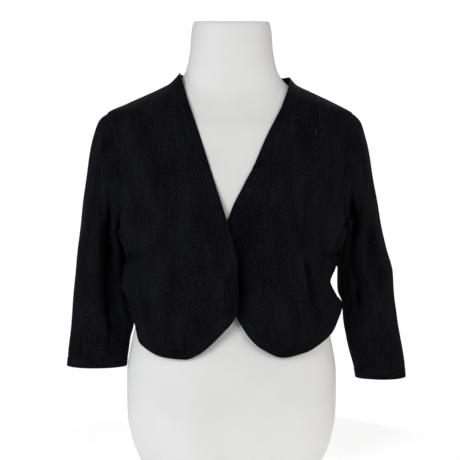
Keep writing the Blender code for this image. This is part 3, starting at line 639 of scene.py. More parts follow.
def unit(vectors):
    return vectors / np.maximum(np.linalg.norm(vectors, axis=-1, keepdims=True), 1e-12)


def coons(bottom, top, left, right, u, v):
    """Bilinear Coons interpolation between four lists of (turn, z) places."""
    u = u[:, None, None]
    v = v[None, :, None]
    sides = (1 - v) * bottom[:, None] + v * top[:, None] + (1 - u) * left[None] + u * right[None]
    corners = (1 - u) * (1 - v) * bottom[0] + u * (1 - v) * bottom[-1] + (1 - u) * v * top[0] + u * v * top[-1]
    return sides - corners


def line_distance(line, out, z):
    """The distance from places to a line of points, and the share of its length where it is nearest."""
    points = np.array(line, float)
    lengths = running_length(points)
    best = np.full(np.shape(out), np.inf)
    share = np.zeros(np.shape(out))
    for start, end, before, after in zip(points[:-1], points[1:], lengths[:-1], lengths[1:]):
        span = end - start
        t = ((out - start[0]) * span[0] + (z - start[1]) * span[1]) / (span @ span)
        t = np.clip(t, 0.0, 1.0)
        away = np.hypot(out - start[0] - t * span[0], z - start[1] - t * span[1])
        nearer = away < best
        best = np.where(nearer, away, best)
        share = np.where(nearer, (before + t * (after - before)) / lengths[-1], share)
    return best, share


def relief(name, out, z):
    """How far a region's creases raise the cloth at places seen straight on."""
    total = np.zeros(np.shape(out))
    for line, rise, start_width, end_width in CREASES[name]:
        away, share = line_distance(line, out, z)
        width = start_width + (end_width - start_width) * share
        total += rise * in_and_out(CREASE_FADE, share) * np.exp(-((away / width) ** 2))
    return total


def unevenness(across, along):
    total = 0.0
    for wave_across, wave_along, start, height in UNEVEN_WAVES:
        total = total + height * np.sin(wave_across * across + wave_along * along + start)
    return total


def grid_normals(grid, outward):
    """Unit normals of a grid of points, turned to the side that outward points to."""
    by_row = np.gradient(grid, axis=0)
    by_column = np.gradient(grid, axis=1)
    normals = unit(np.cross(by_row, by_column))
    return normals * np.sign(dot(normals, outward))[..., None]


def raised(grid, outward, height):
    """The grid moved along its normals, kept clear of the dress form."""
    return clear_of_form(grid + grid_normals(grid, outward) * height[..., None])


def away_from_axis(grid):
    return grid * (1.0, 1.0, 0.0)


def arc_round(surface, side, turn, z):
    """The length round the body from the centre line to each place, measured on the surface."""
    shares = np.linspace(0.0, 1.0, 25)
    flat = surface(side, turn[..., None] * shares, np.broadcast_to(z[..., None], turn.shape + (25,)))
    steps = np.linalg.norm(np.diff(flat, axis=-2), axis=-1)
    return np.copysign(steps.sum(axis=-1), turn)


def front_pieces(side):
    """A front's points and cloth coordinates: rows run from the shoulder seam round to the side seam, columns
    from the free edge in to the armhole."""
    u = OUTLINE_SHARES
    edge = outline_place(side, u)
    hole = ARMHOLES[side]
    quarter = np.full(BAND_LINES + len(ACROSS_SHARES), math.pi / 2)
    shoulder = np.stack((quarter, seam_heights(side, edge[0, 1], hole["top"][1], FRONT_BAND)), axis=1)
    side_seam = np.stack((quarter, seam_heights(side, edge[-1, 1], hole["under"][1], HEM_BAND)), axis=1)
    width = FRONT_BAND + (HEM_BAND - FRONT_BAND) * smooth_step(*BAND_CHANGE, u)
    seam = inset_place(side, u, width)
    out, z = armhole(side, math.pi * (1 - u), "scoop_front")
    arm = np.stack((turn_at(side, out, z, CLOTH.read("square_front", z)), z), axis=1)
    edge[0], edge[-1] = shoulder[0], side_seam[0]
    seam[0], seam[-1] = shoulder[BAND_LINES], side_seam[BAND_LINES]
    arm[0], arm[-1] = shoulder[-1], side_seam[-1]
    panel = coons(seam, arm, shoulder[BAND_LINES:], side_seam[BAND_LINES:], u, ACROSS_SHARES)
    band_shares = np.array(BAND_SHARES)[None, :, None]
    band = edge[:, None] * (1 - band_shares) + seam[:, None] * band_shares
    band[0], band[-1] = shoulder[:BAND_LINES], side_seam[:BAND_LINES]
    places = np.concatenate((band, panel), axis=1)
    turn, z = places[..., 0], places[..., 1]
    plain = front_surface(side, turn, z)
    out = side * plain[..., 0]
    round_body = arc_round(front_surface, side, turn, z)
    height = relief("front_" + WORDS[side], out, z) + unevenness(round_body + side * FRONT_WAVES, z)
    points = raised(plain, away_from_axis(plain), height * smooth_step(*SIDE_FADE, np.cos(turn)))
    panel_uv = np.stack((side * round_body, z), axis=-1)[:, BAND_LINES:]
    along = running_length(points[:, 0])
    across = np.concatenate((np.array(BAND_SHARES), [1.0]))[None, :] * width[:, None]
    band_uv = np.stack((across, np.broadcast_to(along[:, None], across.shape)), axis=-1)
    return points, panel_uv, band_uv


def back_bounds(side):
    """Places of the back's boundary on one side, from the hem up: side seam, armhole, shoulder seam."""
    quarter = math.pi / 2
    hole = ARMHOLES[side]
    edge = outline_place(side, np.array((0.0, 1.0)))
    low = seam_heights(side, edge[1, 1], hole["under"][1], HEM_BAND)
    high = seam_heights(side, edge[0, 1], hole["top"][1], FRONT_BAND)[::-1]
    out, z = armhole(side, math.pi * OUTLINE_SHARES[1:-1], "scoop_back")
    arm = np.stack((turn_at(side, out, z, CLOTH.read("square_back", z)), z), axis=1)
    low = np.stack((np.full(len(low), quarter), low), axis=1)
    high = np.stack((np.full(len(high), quarter), high), axis=1)
    return np.concatenate((low, arm, high))


def back_pieces():
    """The back's points and cloth coordinates: rows run from the hem up to the neck, columns from the right
    side to the left."""
    bounds = {side: back_bounds(side) for side in (RIGHT, LEFT)}
    middles = (bounds[RIGHT][:, 1] + bounds[LEFT][:, 1]) / 2
    seam_row = len(middles) - 1 - BAND_LINES
    neck = middles[-1] - NECK_DIP
    seam = neck - NECK_BAND
    share = (middles - middles[0]) / (middles[seam_row] - middles[0])
    centres = middles + (seam - middles[seam_row]) * share ** 3
    centres[seam_row:] = neck - NECK_BAND * np.concatenate(([1.0], np.array(BAND_SHARES)[::-1]))
    shares = seam_shares(2 * BACK_HALF_CELLS + 4)[BACK_HALF_CELLS + 2:] * 2 - 1
    shares[0] = 0.0
    halves = []
    for side in (RIGHT, LEFT):
        turn = bounds[side][:, :1] * shares
        z = centres[:, None] + (bounds[side][:, 1:] - centres[:, None]) * shares ** 2
        plain = back_surface(side, turn, z)
        round_body = arc_round(back_surface, side, turn, z)
        height = relief("back", plain[..., 0], z) + unevenness(side * round_body + BACK_WAVES, z)
        height = height * smooth_step(*SIDE_FADE, np.cos(turn))
        halves.append((plain, height, side * round_body, z))
    plain, height, across, z = (
        np.concatenate((right[:, :0:-1], left), axis=1) for right, left in zip(*halves)
    )
    points = raised(plain, away_from_axis(plain), height)
    return points, np.stack((across, z), axis=-1), seam_row


def sleeve_folds(side, turn, z):
    """How far the largest folds move a sleeve, from the place round it in degrees and the height."""
    total = np.zeros(np.shape(z))
    for turn_top, turn_bottom, z_top, z_bottom, move, half_turn in SLEEVE_FOLDS[side]:
        along = (z_top - z) / (z_top - z_bottom)
        middle = turn_top + (turn_bottom - turn_top) * along
        total += move * in_and_out(SLEEVE_FOLD_FADE, along) * np.exp(-(((turn - middle) / half_turn) ** 2))
    return total


def sleeve_pieces(side, front, back, seam_row):
    """A sleeve's points and cloth coordinates: rows run from the armhole down to the cuff's edge, columns
    round it from the underarm over the front."""
    column = 0 if side == RIGHT else -1
    first_arm = BAND_LINES + len(ACROSS_SHARES) - 1
    last_arm = first_arm + len(OUTLINE_SHARES) - 1
    loop = np.concatenate((front[::-1, -1], back[last_arm - 1:first_arm:-1, column]))
    turns = math.pi * np.concatenate((1 - OUTLINE_SHARES[::-1], 2 - OUTLINE_SHARES[-2:0:-1]))
    loop = np.concatenate((loop[::2], loop[:1]))
    turns = np.append(turns[::2], 2 * math.pi)
    last = len(SLEEVE_ROWS[side]) - 1
    rings = np.concatenate((
        FIRST_RINGS,
        np.linspace(EVEN_RINGS[0], last - EVEN_RINGS[1], SLEEVE_RINGS),
        last - np.array(LAST_RINGS),
        last - np.array(BAND_SHARES + (1.0,))[::-1],
    ))
    section = {name: SLEEVES[side].read(name, rings) for name in SLEEVE_NAMES}
    outer = np.stack((side * section["outer"], section["mid_y"], section["outer_z"]), axis=1)
    inner = np.stack((side * section["inner"], section["mid_y"], section["inner_z"]), axis=1)
    middle = (outer + inner) / 2
    reach = (inner - outer) / 2
    across = np.stack((0 * rings, -section["half_depth"], 0 * rings), axis=1)
    away = reach[:, None] * np.cos(turns)[None, :, None] + across[:, None] * np.sin(turns)[None, :, None]
    plain = middle[:, None] + away
    move = sleeve_folds(side, np.degrees(turns)[None], plain[..., 2])
    plain = plain + move[..., None] * unit(away)
    plain = plain + section["follow"][:, None, None] * (loop - plain[0])
    out, z = side * plain[..., 0], plain[..., 2]
    facing = np.sin(turns)[None]
    word = WORDS[side]
    height = relief(f"sleeve_{word}_front", out, z) * smooth_step(*FACING_FADE, facing)
    height += relief(f"sleeve_{word}_back", out, z) * smooth_step(*FACING_FADE, -facing)
    height += unevenness(turns[None] * ARM_RADIUS + side, z + ARM_TILT * np.sin(turns)[None])
    height *= smooth_step(*ARMHOLE_FADE, rings)[:, None]
    outward = away + 0 * plain
    points = raised(plain, outward, height)
    points[0] = loop
    points[:, -1] = points[:, 0]
    steps = np.linalg.norm(np.diff(points, axis=1), axis=2)
    lengths = np.concatenate((np.zeros((len(rings), 1)), np.cumsum(steps, axis=1)), axis=1)
    outer_column = len(turns) // 2
    round_arm = lengths - lengths[:, outer_column:outer_column + 1]
    down_arm = running_length(points[:, outer_column])[:, None]
    slant = points[:, outer_column:outer_column + 1, 2] - points[..., 2]
    slant = slant * smooth_step(*SLANT_FADE, SLANT_RINGS - rings)[:, None]
    return points, np.stack((round_arm, -(down_arm + slant)), axis=-1)


# Points on the same spot of this grid are one, and a point this near an armhole's line is on its seam.
WELD_GRID = 5e-6
SEAM_REACH = 2e-5


class Garment:
    """The whole worn cloth: welded points with one normal each, and for each sewn piece its faces."""

    def __init__(self):
        self.grids = []

    def add(self, name, points, uv, flip):
        self.grids.append((name, points, uv, flip))

    def weld(self):
        everything = np.concatenate([points.reshape(-1, 3) for _, points, _, _ in self.grids])
        keys = np.round(everything / WELD_GRID).astype(np.int64)
        _, first, index = np.unique(keys, axis=0, return_index=True, return_inverse=True)
        index = index.reshape(-1)
        self.points = everything[first]
        self.faces = {}
        self.uv = {}
        start = 0
        for name, points, uv, flip in self.grids:
            rows, columns = points.shape[:2]
            ids = index[start:start + rows * columns].reshape(rows, columns)
            start += rows * columns
            self.faces[name] = cells(ids, flip)
            self.uv[name] = cells(uv, flip)
        self.find_normals()
        self.find_seams()

    def find_normals(self):
        """Each point's direction: the mean of the directions that its pieces have there."""
        total = np.zeros_like(self.points)
        for faces in self.faces.values():
            corners = self.points[faces]
            own = np.zeros_like(self.points)
            normal = np.cross(corners[:, 2] - corners[:, 0], corners[:, 3] - corners[:, 1])
            for k in range(4):
                np.add.at(own, faces[:, k], normal)
            total += unit(own)
        self.normals = unit(total)

    def find_seams(self):
        """Marks the points that two pieces share."""
        owners = np.zeros(len(self.points), int)
        for faces in self.faces.values():
            owners[np.unique(faces)] += 1
        self.on_seam = owners > 1


def cells(grid, flip):
    """The four corners of each cell of a grid, in order round it."""
    corners = (grid[:-1, :-1], grid[:-1, 1:], grid[1:, 1:], grid[1:, :-1])
    stacked = np.stack(corners[::-1] if flip else corners, axis=2)
    return stacked.reshape((-1, 4) + grid.shape[2:])


def make_garment():
    garment = Garment()
    back, back_uv, seam_row = back_pieces()
    armhole_points = []
    for side in (RIGHT, LEFT):
        word = WORDS[side]
        front, panel_uv, band_uv = front_pieces(side)
        flip = side == LEFT
        garment.add("front_band_" + word, front[:, :BAND_LINES + 1], band_uv, flip)
        garment.add("front_" + word, front[:, BAND_LINES:], panel_uv, flip)
        sleeve, sleeve_uv = sleeve_pieces(side, front, back, seam_row)
        cuff_row = len(sleeve) - 1 - BAND_LINES
        garment.add("sleeve_" + word, sleeve[:cuff_row + 1], sleeve_uv[:cuff_row + 1], flip)
        garment.add("cuff_" + word, sleeve[cuff_row:], sleeve_uv[cuff_row:][..., ::-1], flip)
        armhole_points.append(front[:, -1])
        column = 0 if side == RIGHT else -1
        first_arm = BAND_LINES + len(ACROSS_SHARES) - 1
        armhole_points.append(back[first_arm:first_arm + len(OUTLINE_SHARES), column])
    garment.add("hem_band_back", back[:BAND_LINES + 1], back_uv[:BAND_LINES + 1, :, ::-1], True)
    garment.add("back", back[BAND_LINES:seam_row + 1], back_uv[BAND_LINES:seam_row + 1], True)
    garment.add("neck_band_back", back[seam_row:], back_uv[seam_row:, :, ::-1], True)
    garment.weld()
    tree = KDTree(len(garment.points))
    for i, place in enumerate(garment.points):
        tree.insert(place, i)
    tree.balance()
    for place in np.concatenate(armhole_points):
        found = tree.find(place)
        if found[2] < SEAM_REACH:
            garment.on_seam[found[1]] = True
    return garment


def seam_distances(points, on_seam):
    """How far each point of a piece lies from its nearest seam."""
    seams = points[on_seam]
    tree = KDTree(len(seams))
    for i, place in enumerate(seams):
        tree.insert(place, i)
    tree.balance()
    return np.array([tree.find(place)[2] for place in points])


def sewn_piece(garment, name, wall, groove):
    """One sewn piece as a closed wall: sunk a little along its seams and rounded along its free edges."""
    faces = garment.faces[name]
    used, flat = np.unique(faces, return_inverse=True)
    quads = flat.reshape(-1, 4)
    middle = garment.points[used]
    normals = garment.normals[used]
    on_seam = garment.on_seam[used]
    sunk = groove * np.exp(-((seam_distances(middle, on_seam) / GROOVE_REACH) ** 2))
    outer = middle + normals * (wall / 2 - sunk)[:, None]
    inner = middle - normals * wall / 2
    count = len(used)
    vertices = [outer, inner]
    polygons = [tuple(q) for q in quads.tolist()]
    corner_uv = [garment.uv[name].reshape(-1, 2)]
    polygons += [tuple(count + c for c in reversed(q)) for q in quads.tolist()]
    corner_uv.append(garment.uv[name][:, ::-1].reshape(-1, 2))

    # The boundary, with each point's direction out of the piece.
    starts = quads.reshape(-1)
    ends = np.roll(quads, -1, axis=1).reshape(-1)
    start_uv = garment.uv[name].reshape(-1, 2)
    end_uv = np.roll(garment.uv[name], -1, axis=1).reshape(-1, 2)
    lone = ~np.isin(ends.astype(np.int64) * count + starts, starts.astype(np.int64) * count + ends)
    starts, ends, start_uv, end_uv = starts[lone], ends[lone], start_uv[lone], end_uv[lone]
    along = unit(middle[ends] - middle[starts])
    outward = np.zeros_like(middle)
    free = ~(on_seam[starts] & on_seam[ends])
    for corner in (starts, ends):
        np.add.at(outward, corner[free], unit(np.cross(along[free], normals[corner[free]])))
    rounded = np.unique(np.concatenate((starts[free], ends[free])))
    outward = unit(outward)
    arcs = {}
    steps = np.radians((45.0, 0.0, -45.0))
    for row, place in enumerate(rounded):
        arcs[int(place)] = [2 * count + 3 * row + k for k in range(3)]
    arc_points = (
        middle[rounded][:, None]
        + normals[rounded][:, None] * (wall / 2 * np.sin(steps))[None, :, None]
        + outward[rounded][:, None] * (wall / 2 * np.cos(steps))[None, :, None]
    )
    vertices.append(arc_points.reshape(-1, 3))
    rim_uv = []
    ends_of_free = {}
    edges = (column.tolist() for column in (starts, ends, free, start_uv, end_uv))
    for a, b, is_free, ua, ub in zip(*edges):
        if not is_free:
            polygons.append((b, a, count + a, count + b))
            rim_uv += [ub, ua, ua, ub]
            continue
        line_a = [a] + arcs[a] + [count + a]
        line_b = [b] + arcs[b] + [count + b]
        for k in range(4):
            polygons.append((line_b[k], line_a[k], line_a[k + 1], line_b[k + 1]))
            rim_uv += [ub, ua, ua, ub]
        ends_of_free.setdefault(a, []).append(("first", ua))
        ends_of_free.setdefault(b, []).append(("last", ub))
    for place, found in ends_of_free.items():
        if len(found) == 1:
            line = [place] + arcs[place] + [count + place]
            polygons.append(tuple(reversed(line)) if found[0][0] == "first" else tuple(line))
            rim_uv += [found[0][1]] * 5
    mesh = bpy.data.meshes.new(name)
    mesh.from_pydata(np.concatenate(vertices).tolist(), [], polygons)
    layer = mesh.uv_layers.new(name="cloth")
    all_uv = np.concatenate(corner_uv + [np.array(rim_uv, float)])
    layer.data.foreach_set("uv", all_uv.astype(np.float32).reshape(-1))
    mesh.shade_smooth()
    mesh.set_sharp_from_angle(angle=math.radians(SHARP_CLOTH))
    piece = bpy.data.objects.new("knit_" + name, mesh)
    bpy.context.scene.collection.objects.link(piece)
    return piece


class Value:
    """A number socket of a shader, so that a Python expression adds its Math nodes."""

    def __init__(self, shader, socket):
        self.shader = shader
        self.socket = socket

    def maths(self, operation, *others):
        sockets = {0: self}
        sockets.update({k + 1: other for k, other in enumerate(others)})
        return self.shader.value(self.shader.node("ShaderNodeMath", {"operation": operation}, sockets))

    def reflected(self, operation, other):
        sockets = {0: other, 1: self}
        return self.shader.value(self.shader.node("ShaderNodeMath", {"operation": operation}, sockets))

    def __add__(self, other):
        return self.maths("ADD", other)

    __radd__ = __add__

    def __sub__(self, other):
        return self.maths("SUBTRACT", other)

    def __rsub__(self, other):
        return self.reflected("SUBTRACT", other)

    def __mul__(self, other):
        return self.maths("MULTIPLY", other)

    __rmul__ = __mul__

    def sine(self):
        return self.maths("SINE")

    def size(self):
        return self.maths("ABSOLUTE")

    def fraction(self):
        return self.maths("FRACT")

    def between(self, low, high):
        """0 at low and 1 at high, smooth in between."""
        settings = {"interpolation_type": "SMOOTHSTEP"}
        sockets = {"Value": self, "From Min": low, "From Max": high}
        return self.shader.value(self.shader.node("ShaderNodeMapRange", settings, sockets))


class Shader:
    """One material and its nodes."""

    def __init__(self, name):
        self.material = bpy.data.materials.new(name)
        self.material.use_nodes = True
        self.tree = self.material.node_tree
        self.surface = self.tree.nodes["Principled BSDF"]

    def node(self, kind, settings=None, sockets=None):
        made = self.tree.nodes.new(kind)
        for key, value in (settings or {}).items():
            setattr(made, key, value)
        for key, value in (sockets or {}).items():
            self.feed(made.inputs[key], value)
        return made

    def feed(self, socket, value):
        if isinstance(value, Value):
            value = value.socket
        if isinstance(value, bpy.types.NodeSocket):
            self.tree.links.new(value, socket)
        else:
            socket.default_value = value

    def value(self, node, output=0):
        return Value(self, node.outputs[output])

    def set(self, **uniform):
        """Sets the surface's own sockets, such as Sheen_Weight."""
        for key, value in uniform.items():
            self.feed(self.surface.inputs[key.replace("_", " ")], value)

    def noise(self, place, scale, detail=2.0, roughness=0.5):
        sockets = {"Vector": place, "Scale": scale, "Detail": detail, "Roughness": roughness}
        return self.value(self.node("ShaderNodeTexNoise", None, sockets))

    def blend(self, share, first, second):
        """A colour between two, by a share."""
        sockets = {0: share, 6: (*first, 1.0), 7: (*second, 1.0)}
        return self.node("ShaderNodeMix", {"data_type": "RGBA"}, sockets).outputs[2]

    def bump(self, height, strength, distance):
        sockets = {"Strength": strength, "Distance": distance, "Height": height}
        self.feed(self.surface.inputs["Normal"], self.node("ShaderNodeBump", None, sockets).outputs[0])


# The knit's noises: features a metre across and along, and the patches' share of the tone.
STREAKS = (520.0, 26.0)
PATCHES = (34.0, 13.0)
NAP = 400.0
PATCH_SHARE = 0.18
PATCH_SLICE = 4.0
STRIPE_SHARES = {"knit": 0.22, "band": 0.34}
TONE_RANGE = (0.43, 0.585)


def knit_material(name, colours, wale, course, stripe):
    """Fine knit: columns of small V stitches, faint streaks along them, and a soft nap."""
    shader = Shader(name)
    cloth = shader.node("ShaderNodeUVMap", {"uv_map": "cloth"})
    apart = shader.node("ShaderNodeSeparateXYZ", None, {0: cloth.outputs[0]})
    across, along = shader.value(apart, 0), shader.value(apart, 1)
    column = (across * (math.pi / wale)).sine().size()
    lean = ((across * (1 / wale)).fraction() - 0.5).size()
    leg = ((along * (1 / course) + lean * 1.2) * (2 * math.pi)).sine() * 0.5 + 0.5
    stretched = shader.node("ShaderNodeCombineXYZ", None, {0: across * STREAKS[0], 1: along * STREAKS[1]})
    streak = shader.noise(stretched.outputs[0], 1.0, 3.0, 0.62)
    patch_sockets = {0: across * PATCHES[0], 1: along * PATCHES[1], 2: PATCH_SLICE}
    patch_place = shader.node("ShaderNodeCombineXYZ", None, patch_sockets)
    patch = shader.noise(patch_place.outputs[0], 1.0, 2.0)
    nap = shader.noise(cloth.outputs[0], NAP, 3.0, 0.66)
    tone = streak * stripe + patch * PATCH_SHARE + nap * (1 - PATCH_SHARE - stripe)
    shader.set(Base_Color=shader.blend(tone.between(*TONE_RANGE), *colours))
    shader.set(Roughness=0.6 + nap * 0.16)
    shader.set(Specular_IOR_Level=0.06)
    shader.set(Sheen_Weight=0.008, Sheen_Roughness=0.45, Sheen_Tint=(0.75, 0.8, 0.95, 1.0))
    shader.bump(column * 0.5 + leg * 0.3 + streak * 1.2 + nap * 0.9, 0.75, 0.0006)
    return shader.material


def form_material(colour, roughness):
    """Smooth pale moulded shell, with the slightest mottle and orange peel."""
    shader = Shader("form_shell")
    place = shader.node("ShaderNodeTexCoord").outputs["Object"]
    cloud = shader.noise(place, 9.0, 3.0)
    peel = shader.noise(place, 420.0, 2.0)
    darker = tuple(c * 0.965 for c in colour)
    shader.set(Base_Color=shader.blend(cloud.between(0.35, 0.65), darker, colour))
    shader.set(Roughness=roughness + cloud * 0.06, Specular_IOR_Level=0.35)
    shader.bump(peel, 0.1, 0.0003)
    return shader.material


def lint_material(colour):
    """Pale fluff."""
    shader = Shader("lint")
    place = shader.node("ShaderNodeTexCoord").outputs["Object"]
    fleck = shader.noise(place, 900.0, 2.0)
    shader.set(Base_Color=shader.blend(fleck, tuple(c * 0.5 for c in colour), colour), Roughness=0.9)
    return shader.material


def length(name, description, default):
    return FloatProperty(name=name, description=description, default=default, unit="LENGTH", precision=5)


def power(name, description, default):
    return FloatProperty(name=name, description=description, default=default, unit="POWER")


def colour(name, description, default):
    return FloatVectorProperty(name=name, description=description, default=default, subtype="COLOR")


class KnitSizes(bpy.types.PropertyGroup):
    """What a user may change on the cloth."""

    panel_wall: length("Panel thickness", "Thickness of the knitted panels", 0.0016)
    band_wall: length("Band thickness", "Thickness of the doubled bands", 0.0021)
    groove: length("Seam groove", "How far the cloth sinks along its seams", 0.0007)
    wale: length("Wale", "Width of one column of stitches", 0.0013)
    course: length("Course", "Height of one row of stitches", 0.001)
    dark: colour("Dark yarn", "Colour in the dark streaks", (0.0001, 0.0001, 0.0002))
    light: colour("Light yarn", "Colour in the light streaks", (0.0074, 0.0082, 0.0136))
    lint: colour("Lint", "Colour of the stray fibres", (0.22, 0.23, 0.25))


class FormSizes(bpy.types.PropertyGroup):
    """What a user may change on the dress form."""

    shade: colour("Shell", "Colour of the moulded shell", (0.89, 0.89, 0.88))
    roughness: FloatProperty(
        name="Roughness", description="Roughness of the shell", default=0.52, min=0.0, max=1.0, subtype="FACTOR"
    )


class StageSizes(bpy.types.PropertyGroup):
    """What a user may change on the stage."""

    distance: length("Camera distance", "From the camera to the form's axis", 2.1)
    lens: FloatProperty(name="Lens", description="Focal length of the camera in millimetres", default=97.05)
    key: power("Key light", "Power of the soft light at the front left", 28.0)
    fill: power("Fill light", "Power of the soft light at the front right", 15.5)
    low: power("Low lights", "Power of each of the two low lights at the sides", 5.0)
    rear: power("Rear light", "Power of the soft light high behind", 18.0)


def new_object(name, points, polygons, material):
    mesh = bpy.data.meshes.new(name)
    mesh.from_pydata(points, [], polygons)
    mesh.shade_smooth()
    mesh.materials.append(material)
    made = bpy.data.objects.new(name, mesh)
    bpy.context.scene.collection.objects.link(made)
    return made


GARMENT = {}


def worn_garment():
    """The garment's surfaces, worked out once and used by each operator."""
    if not GARMENT:
        GARMENT["cloth"] = make_garment()
    return GARMENT["cloth"]


def sew(names):
    """Makes the named pieces, fixes each to the root body, and hides the imported part it stands for."""
    sizes = bpy.context.scene.shrug_knit
    cloth = worn_garment()
    colours = (tuple(sizes.dark), tuple(sizes.light))
    for name in names:
        cut = dict(zip(CUT_NAMES, CUTS[name]))
        is_band = cut["slot"] == "band"
        wall = sizes.band_wall if is_band else sizes.panel_wall
        piece = sewn_piece(cloth, name, wall, sizes.groove)
        stripe = STRIPE_SHARES[cut["slot"]]
        material_name = "rib_" + name if is_band else "jersey_" + name
        piece.data.materials.append(knit_material(material_name, colours, sizes.wale, sizes.course, stripe))
        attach(piece, "root")
        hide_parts(name)


class SHRUG_OT_dress_form(bpy.types.Operator):
    """Makes the limbless dress form with its recessed neck"""

    bl_idname = "shrug.dress_form"
    bl_label = "Dress form"

    def execute(self, context):
        sizes = context.scene.shrug_form
        levels = np.linspace(0.0, FORM_SECTIONS[-1][0], FORM_RINGS)
        levels = np.unique(np.concatenate((levels, EXTRA_LEVELS)))
        rings = [form_ring(z) for z in levels]
        top = levels[-1]
        rings += [form_ring(top, inset, drop) for inset, drop in RIM_RINGS]
        points = np.concatenate(rings)
        polygons = []
        for i in range(len(rings) - 1):
            for j in range(FORM_SEGMENTS):
                k = (j + 1) % FORM_SEGMENTS
                a, b = i * FORM_SEGMENTS, (i + 1) * FORM_SEGMENTS
                polygons.append((a + j, a + k, b + k, b + j))
        polygons.append(tuple(reversed(range(FORM_SEGMENTS))))
        polygons.append(tuple(range(len(points) - FORM_SEGMENTS, len(points))))
        material = form_material(tuple(sizes.shade), sizes.roughness)
        shell = new_object("dress_form_shell", points.tolist(), polygons, material)
        shell.data.set_sharp_from_angle(angle=math.radians(SHARP_FORM))
        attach(shell, "root")
        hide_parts("dress_form")
        return {"FINISHED"}


def form_ring(z, inset=0.0, drop=0.0):
    """One horizontal ring of the form. Towards the neck's top the ring leans down at the front."""
    turn = np.linspace(0.0, 2 * math.pi, FORM_SEGMENTS, endpoint=False)
    half = FORM.read("half", z) - inset
    square = FORM.read("square", z)
    lean = RIM_TILT * smooth_step(RIM_START, FORM_SECTIONS[-1][0], z)
    deep = np.where(np.cos(turn) > 0, FORM.read("front", z), FORM.read("back", z)) - inset
    x = half * np.copysign(np.abs(np.sin(turn)) ** (2 / square), np.sin(turn))
    y = -deep * np.copysign(np.abs(np.cos(turn)) ** (2 / square), np.cos(turn))
    return np.stack((x, y, z - drop + lean * y), axis=1)


class SHRUG_OT_fronts(bpy.types.Operator):
    """Sews the two fronts and the bands round their free edges"""

    bl_idname = "shrug.fronts"
    bl_label = "Fronts"

    def execute(self, context):
        sew(("front_right", "front_left", "front_band_right", "front_band_left"))
        return {"FINISHED"}


class SHRUG_OT_back(bpy.types.Operator):
    """Sews the back, its hem band and the neck band"""

    bl_idname = "shrug.back"
    bl_label = "Back"

    def execute(self, context):
        sew(("back", "hem_band_back", "neck_band_back"))
        return {"FINISHED"}


class SHRUG_OT_sleeves(bpy.types.Operator):
    """Sews the two sleeves and their cuffs"""

    bl_idname = "shrug.sleeves"
    bl_label = "Sleeves"

    def execute(self, context):
        sew(("sleeve_right", "sleeve_left", "cuff_right", "cuff_left"))
        return {"FINISHED"}


def fibre(tree, place, lean, size, width, bow):
    """The rings of one stray fibre that lies on the cloth, curled to one side and lifted a little midway."""
    outward = tree.find_nearest(place)[1]
    along = Vector((math.cos(lean), 0.0, math.sin(lean)))
    along = (along - outward * along.dot(outward)).normalized()
    aside = outward.cross(along)
    rings = []
    for step in range(FIBRE_STEPS + 1):
        share = step / FIBRE_STEPS
        curl = math.sin(math.pi * share)
        there = place + along * (share - 0.5) * size + aside * bow * size * curl
        found, normal = tree.find_nearest(there)[:2]
        middle = found + normal * (width + FIBRE_LIFT * size * curl)
        spread = normal.cross(along).normalized()
        thin = width * (1.0 - FIBRE_TAPER * abs(2 * share - 1))
        ring = []
        for side in range(FIBRE_SIDES):
            turn = 2 * math.pi * side / FIBRE_SIDES
            ring.append(middle + (spread * math.cos(turn) + normal * math.sin(turn)) * thin)
        rings.append(ring)
    return rings


class SHRUG_OT_lint(bpy.types.Operator):
    """Lays pale stray fibres on the cloth: those that show in front, and some like them all round"""

    bl_idname = "shrug.lint"
    bl_label = "Lint"

    def execute(self, context):
        found = context.evaluated_depsgraph_get()
        trees = {}
        for item in context.scene.objects:
            if item.name.startswith("knit_") or item.name == "dress_form_shell":
                trees[item.name] = BVHTree.FromObject(item, found)
        chance = random.Random(LINT_SEED)
        fibres = [(-1, x, z, math.radians(lean), size, LINT_WIDTH, LINT_BOW) for x, z, lean, size in LINT]
        for _ in range(MORE_LINT):
            from_side = chance.choice((-1, 1))
            x = chance.uniform(*SCATTER_X)
            z = chance.uniform(*SCATTER_Z)
            size = chance.uniform(*SCATTER_LENGTH)
            width = LINT_WIDTH * chance.uniform(*SCATTER_WIDTH)
            lean = chance.uniform(0.0, math.pi)
            fibres.append((from_side, x, z, lean, size, width, chance.uniform(*SCATTER_BOW)))
        points, polygons = [], []
        for from_side, x, z, lean, size, width, bow in fibres:
            start = Vector((x, from_side, z))
            hits = [(tree.ray_cast(start, Vector((0, -from_side, 0))), name) for name, tree in trees.items()]
            hits = [(hit[3], name, hit[0]) for hit, name in hits if hit[0] is not None]
            if not hits or min(hits)[1] == "dress_form_shell":
                continue
            rings = fibre(trees[min(hits)[1]], min(hits)[2], lean, size, width, bow)
            add_tube(points, polygons, rings)
        lint = new_object("lint_fibres", points, polygons, lint_material(tuple(context.scene.shrug_knit.lint)))
        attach(lint, "root")
        return {"FINISHED"}


def add_tube(points, polygons, rings):
    """Adds a closed tube through the rings, capped at both ends."""
    first = len(points)
    sides = len(rings[0])
    for ring in rings:
        points += [tuple(p) for p in ring]
    for row in range(len(rings) - 1):
        for side in range(sides):
            a = first + row * sides + side
            b = first + row * sides + (side + 1) % sides
            polygons.append((a, a + sides, b + sides, b))
    polygons.append(tuple(range(first, first + sides)))
    last = first + (len(rings) - 1) * sides
    polygons.append(tuple(reversed(range(last, last + sides))))


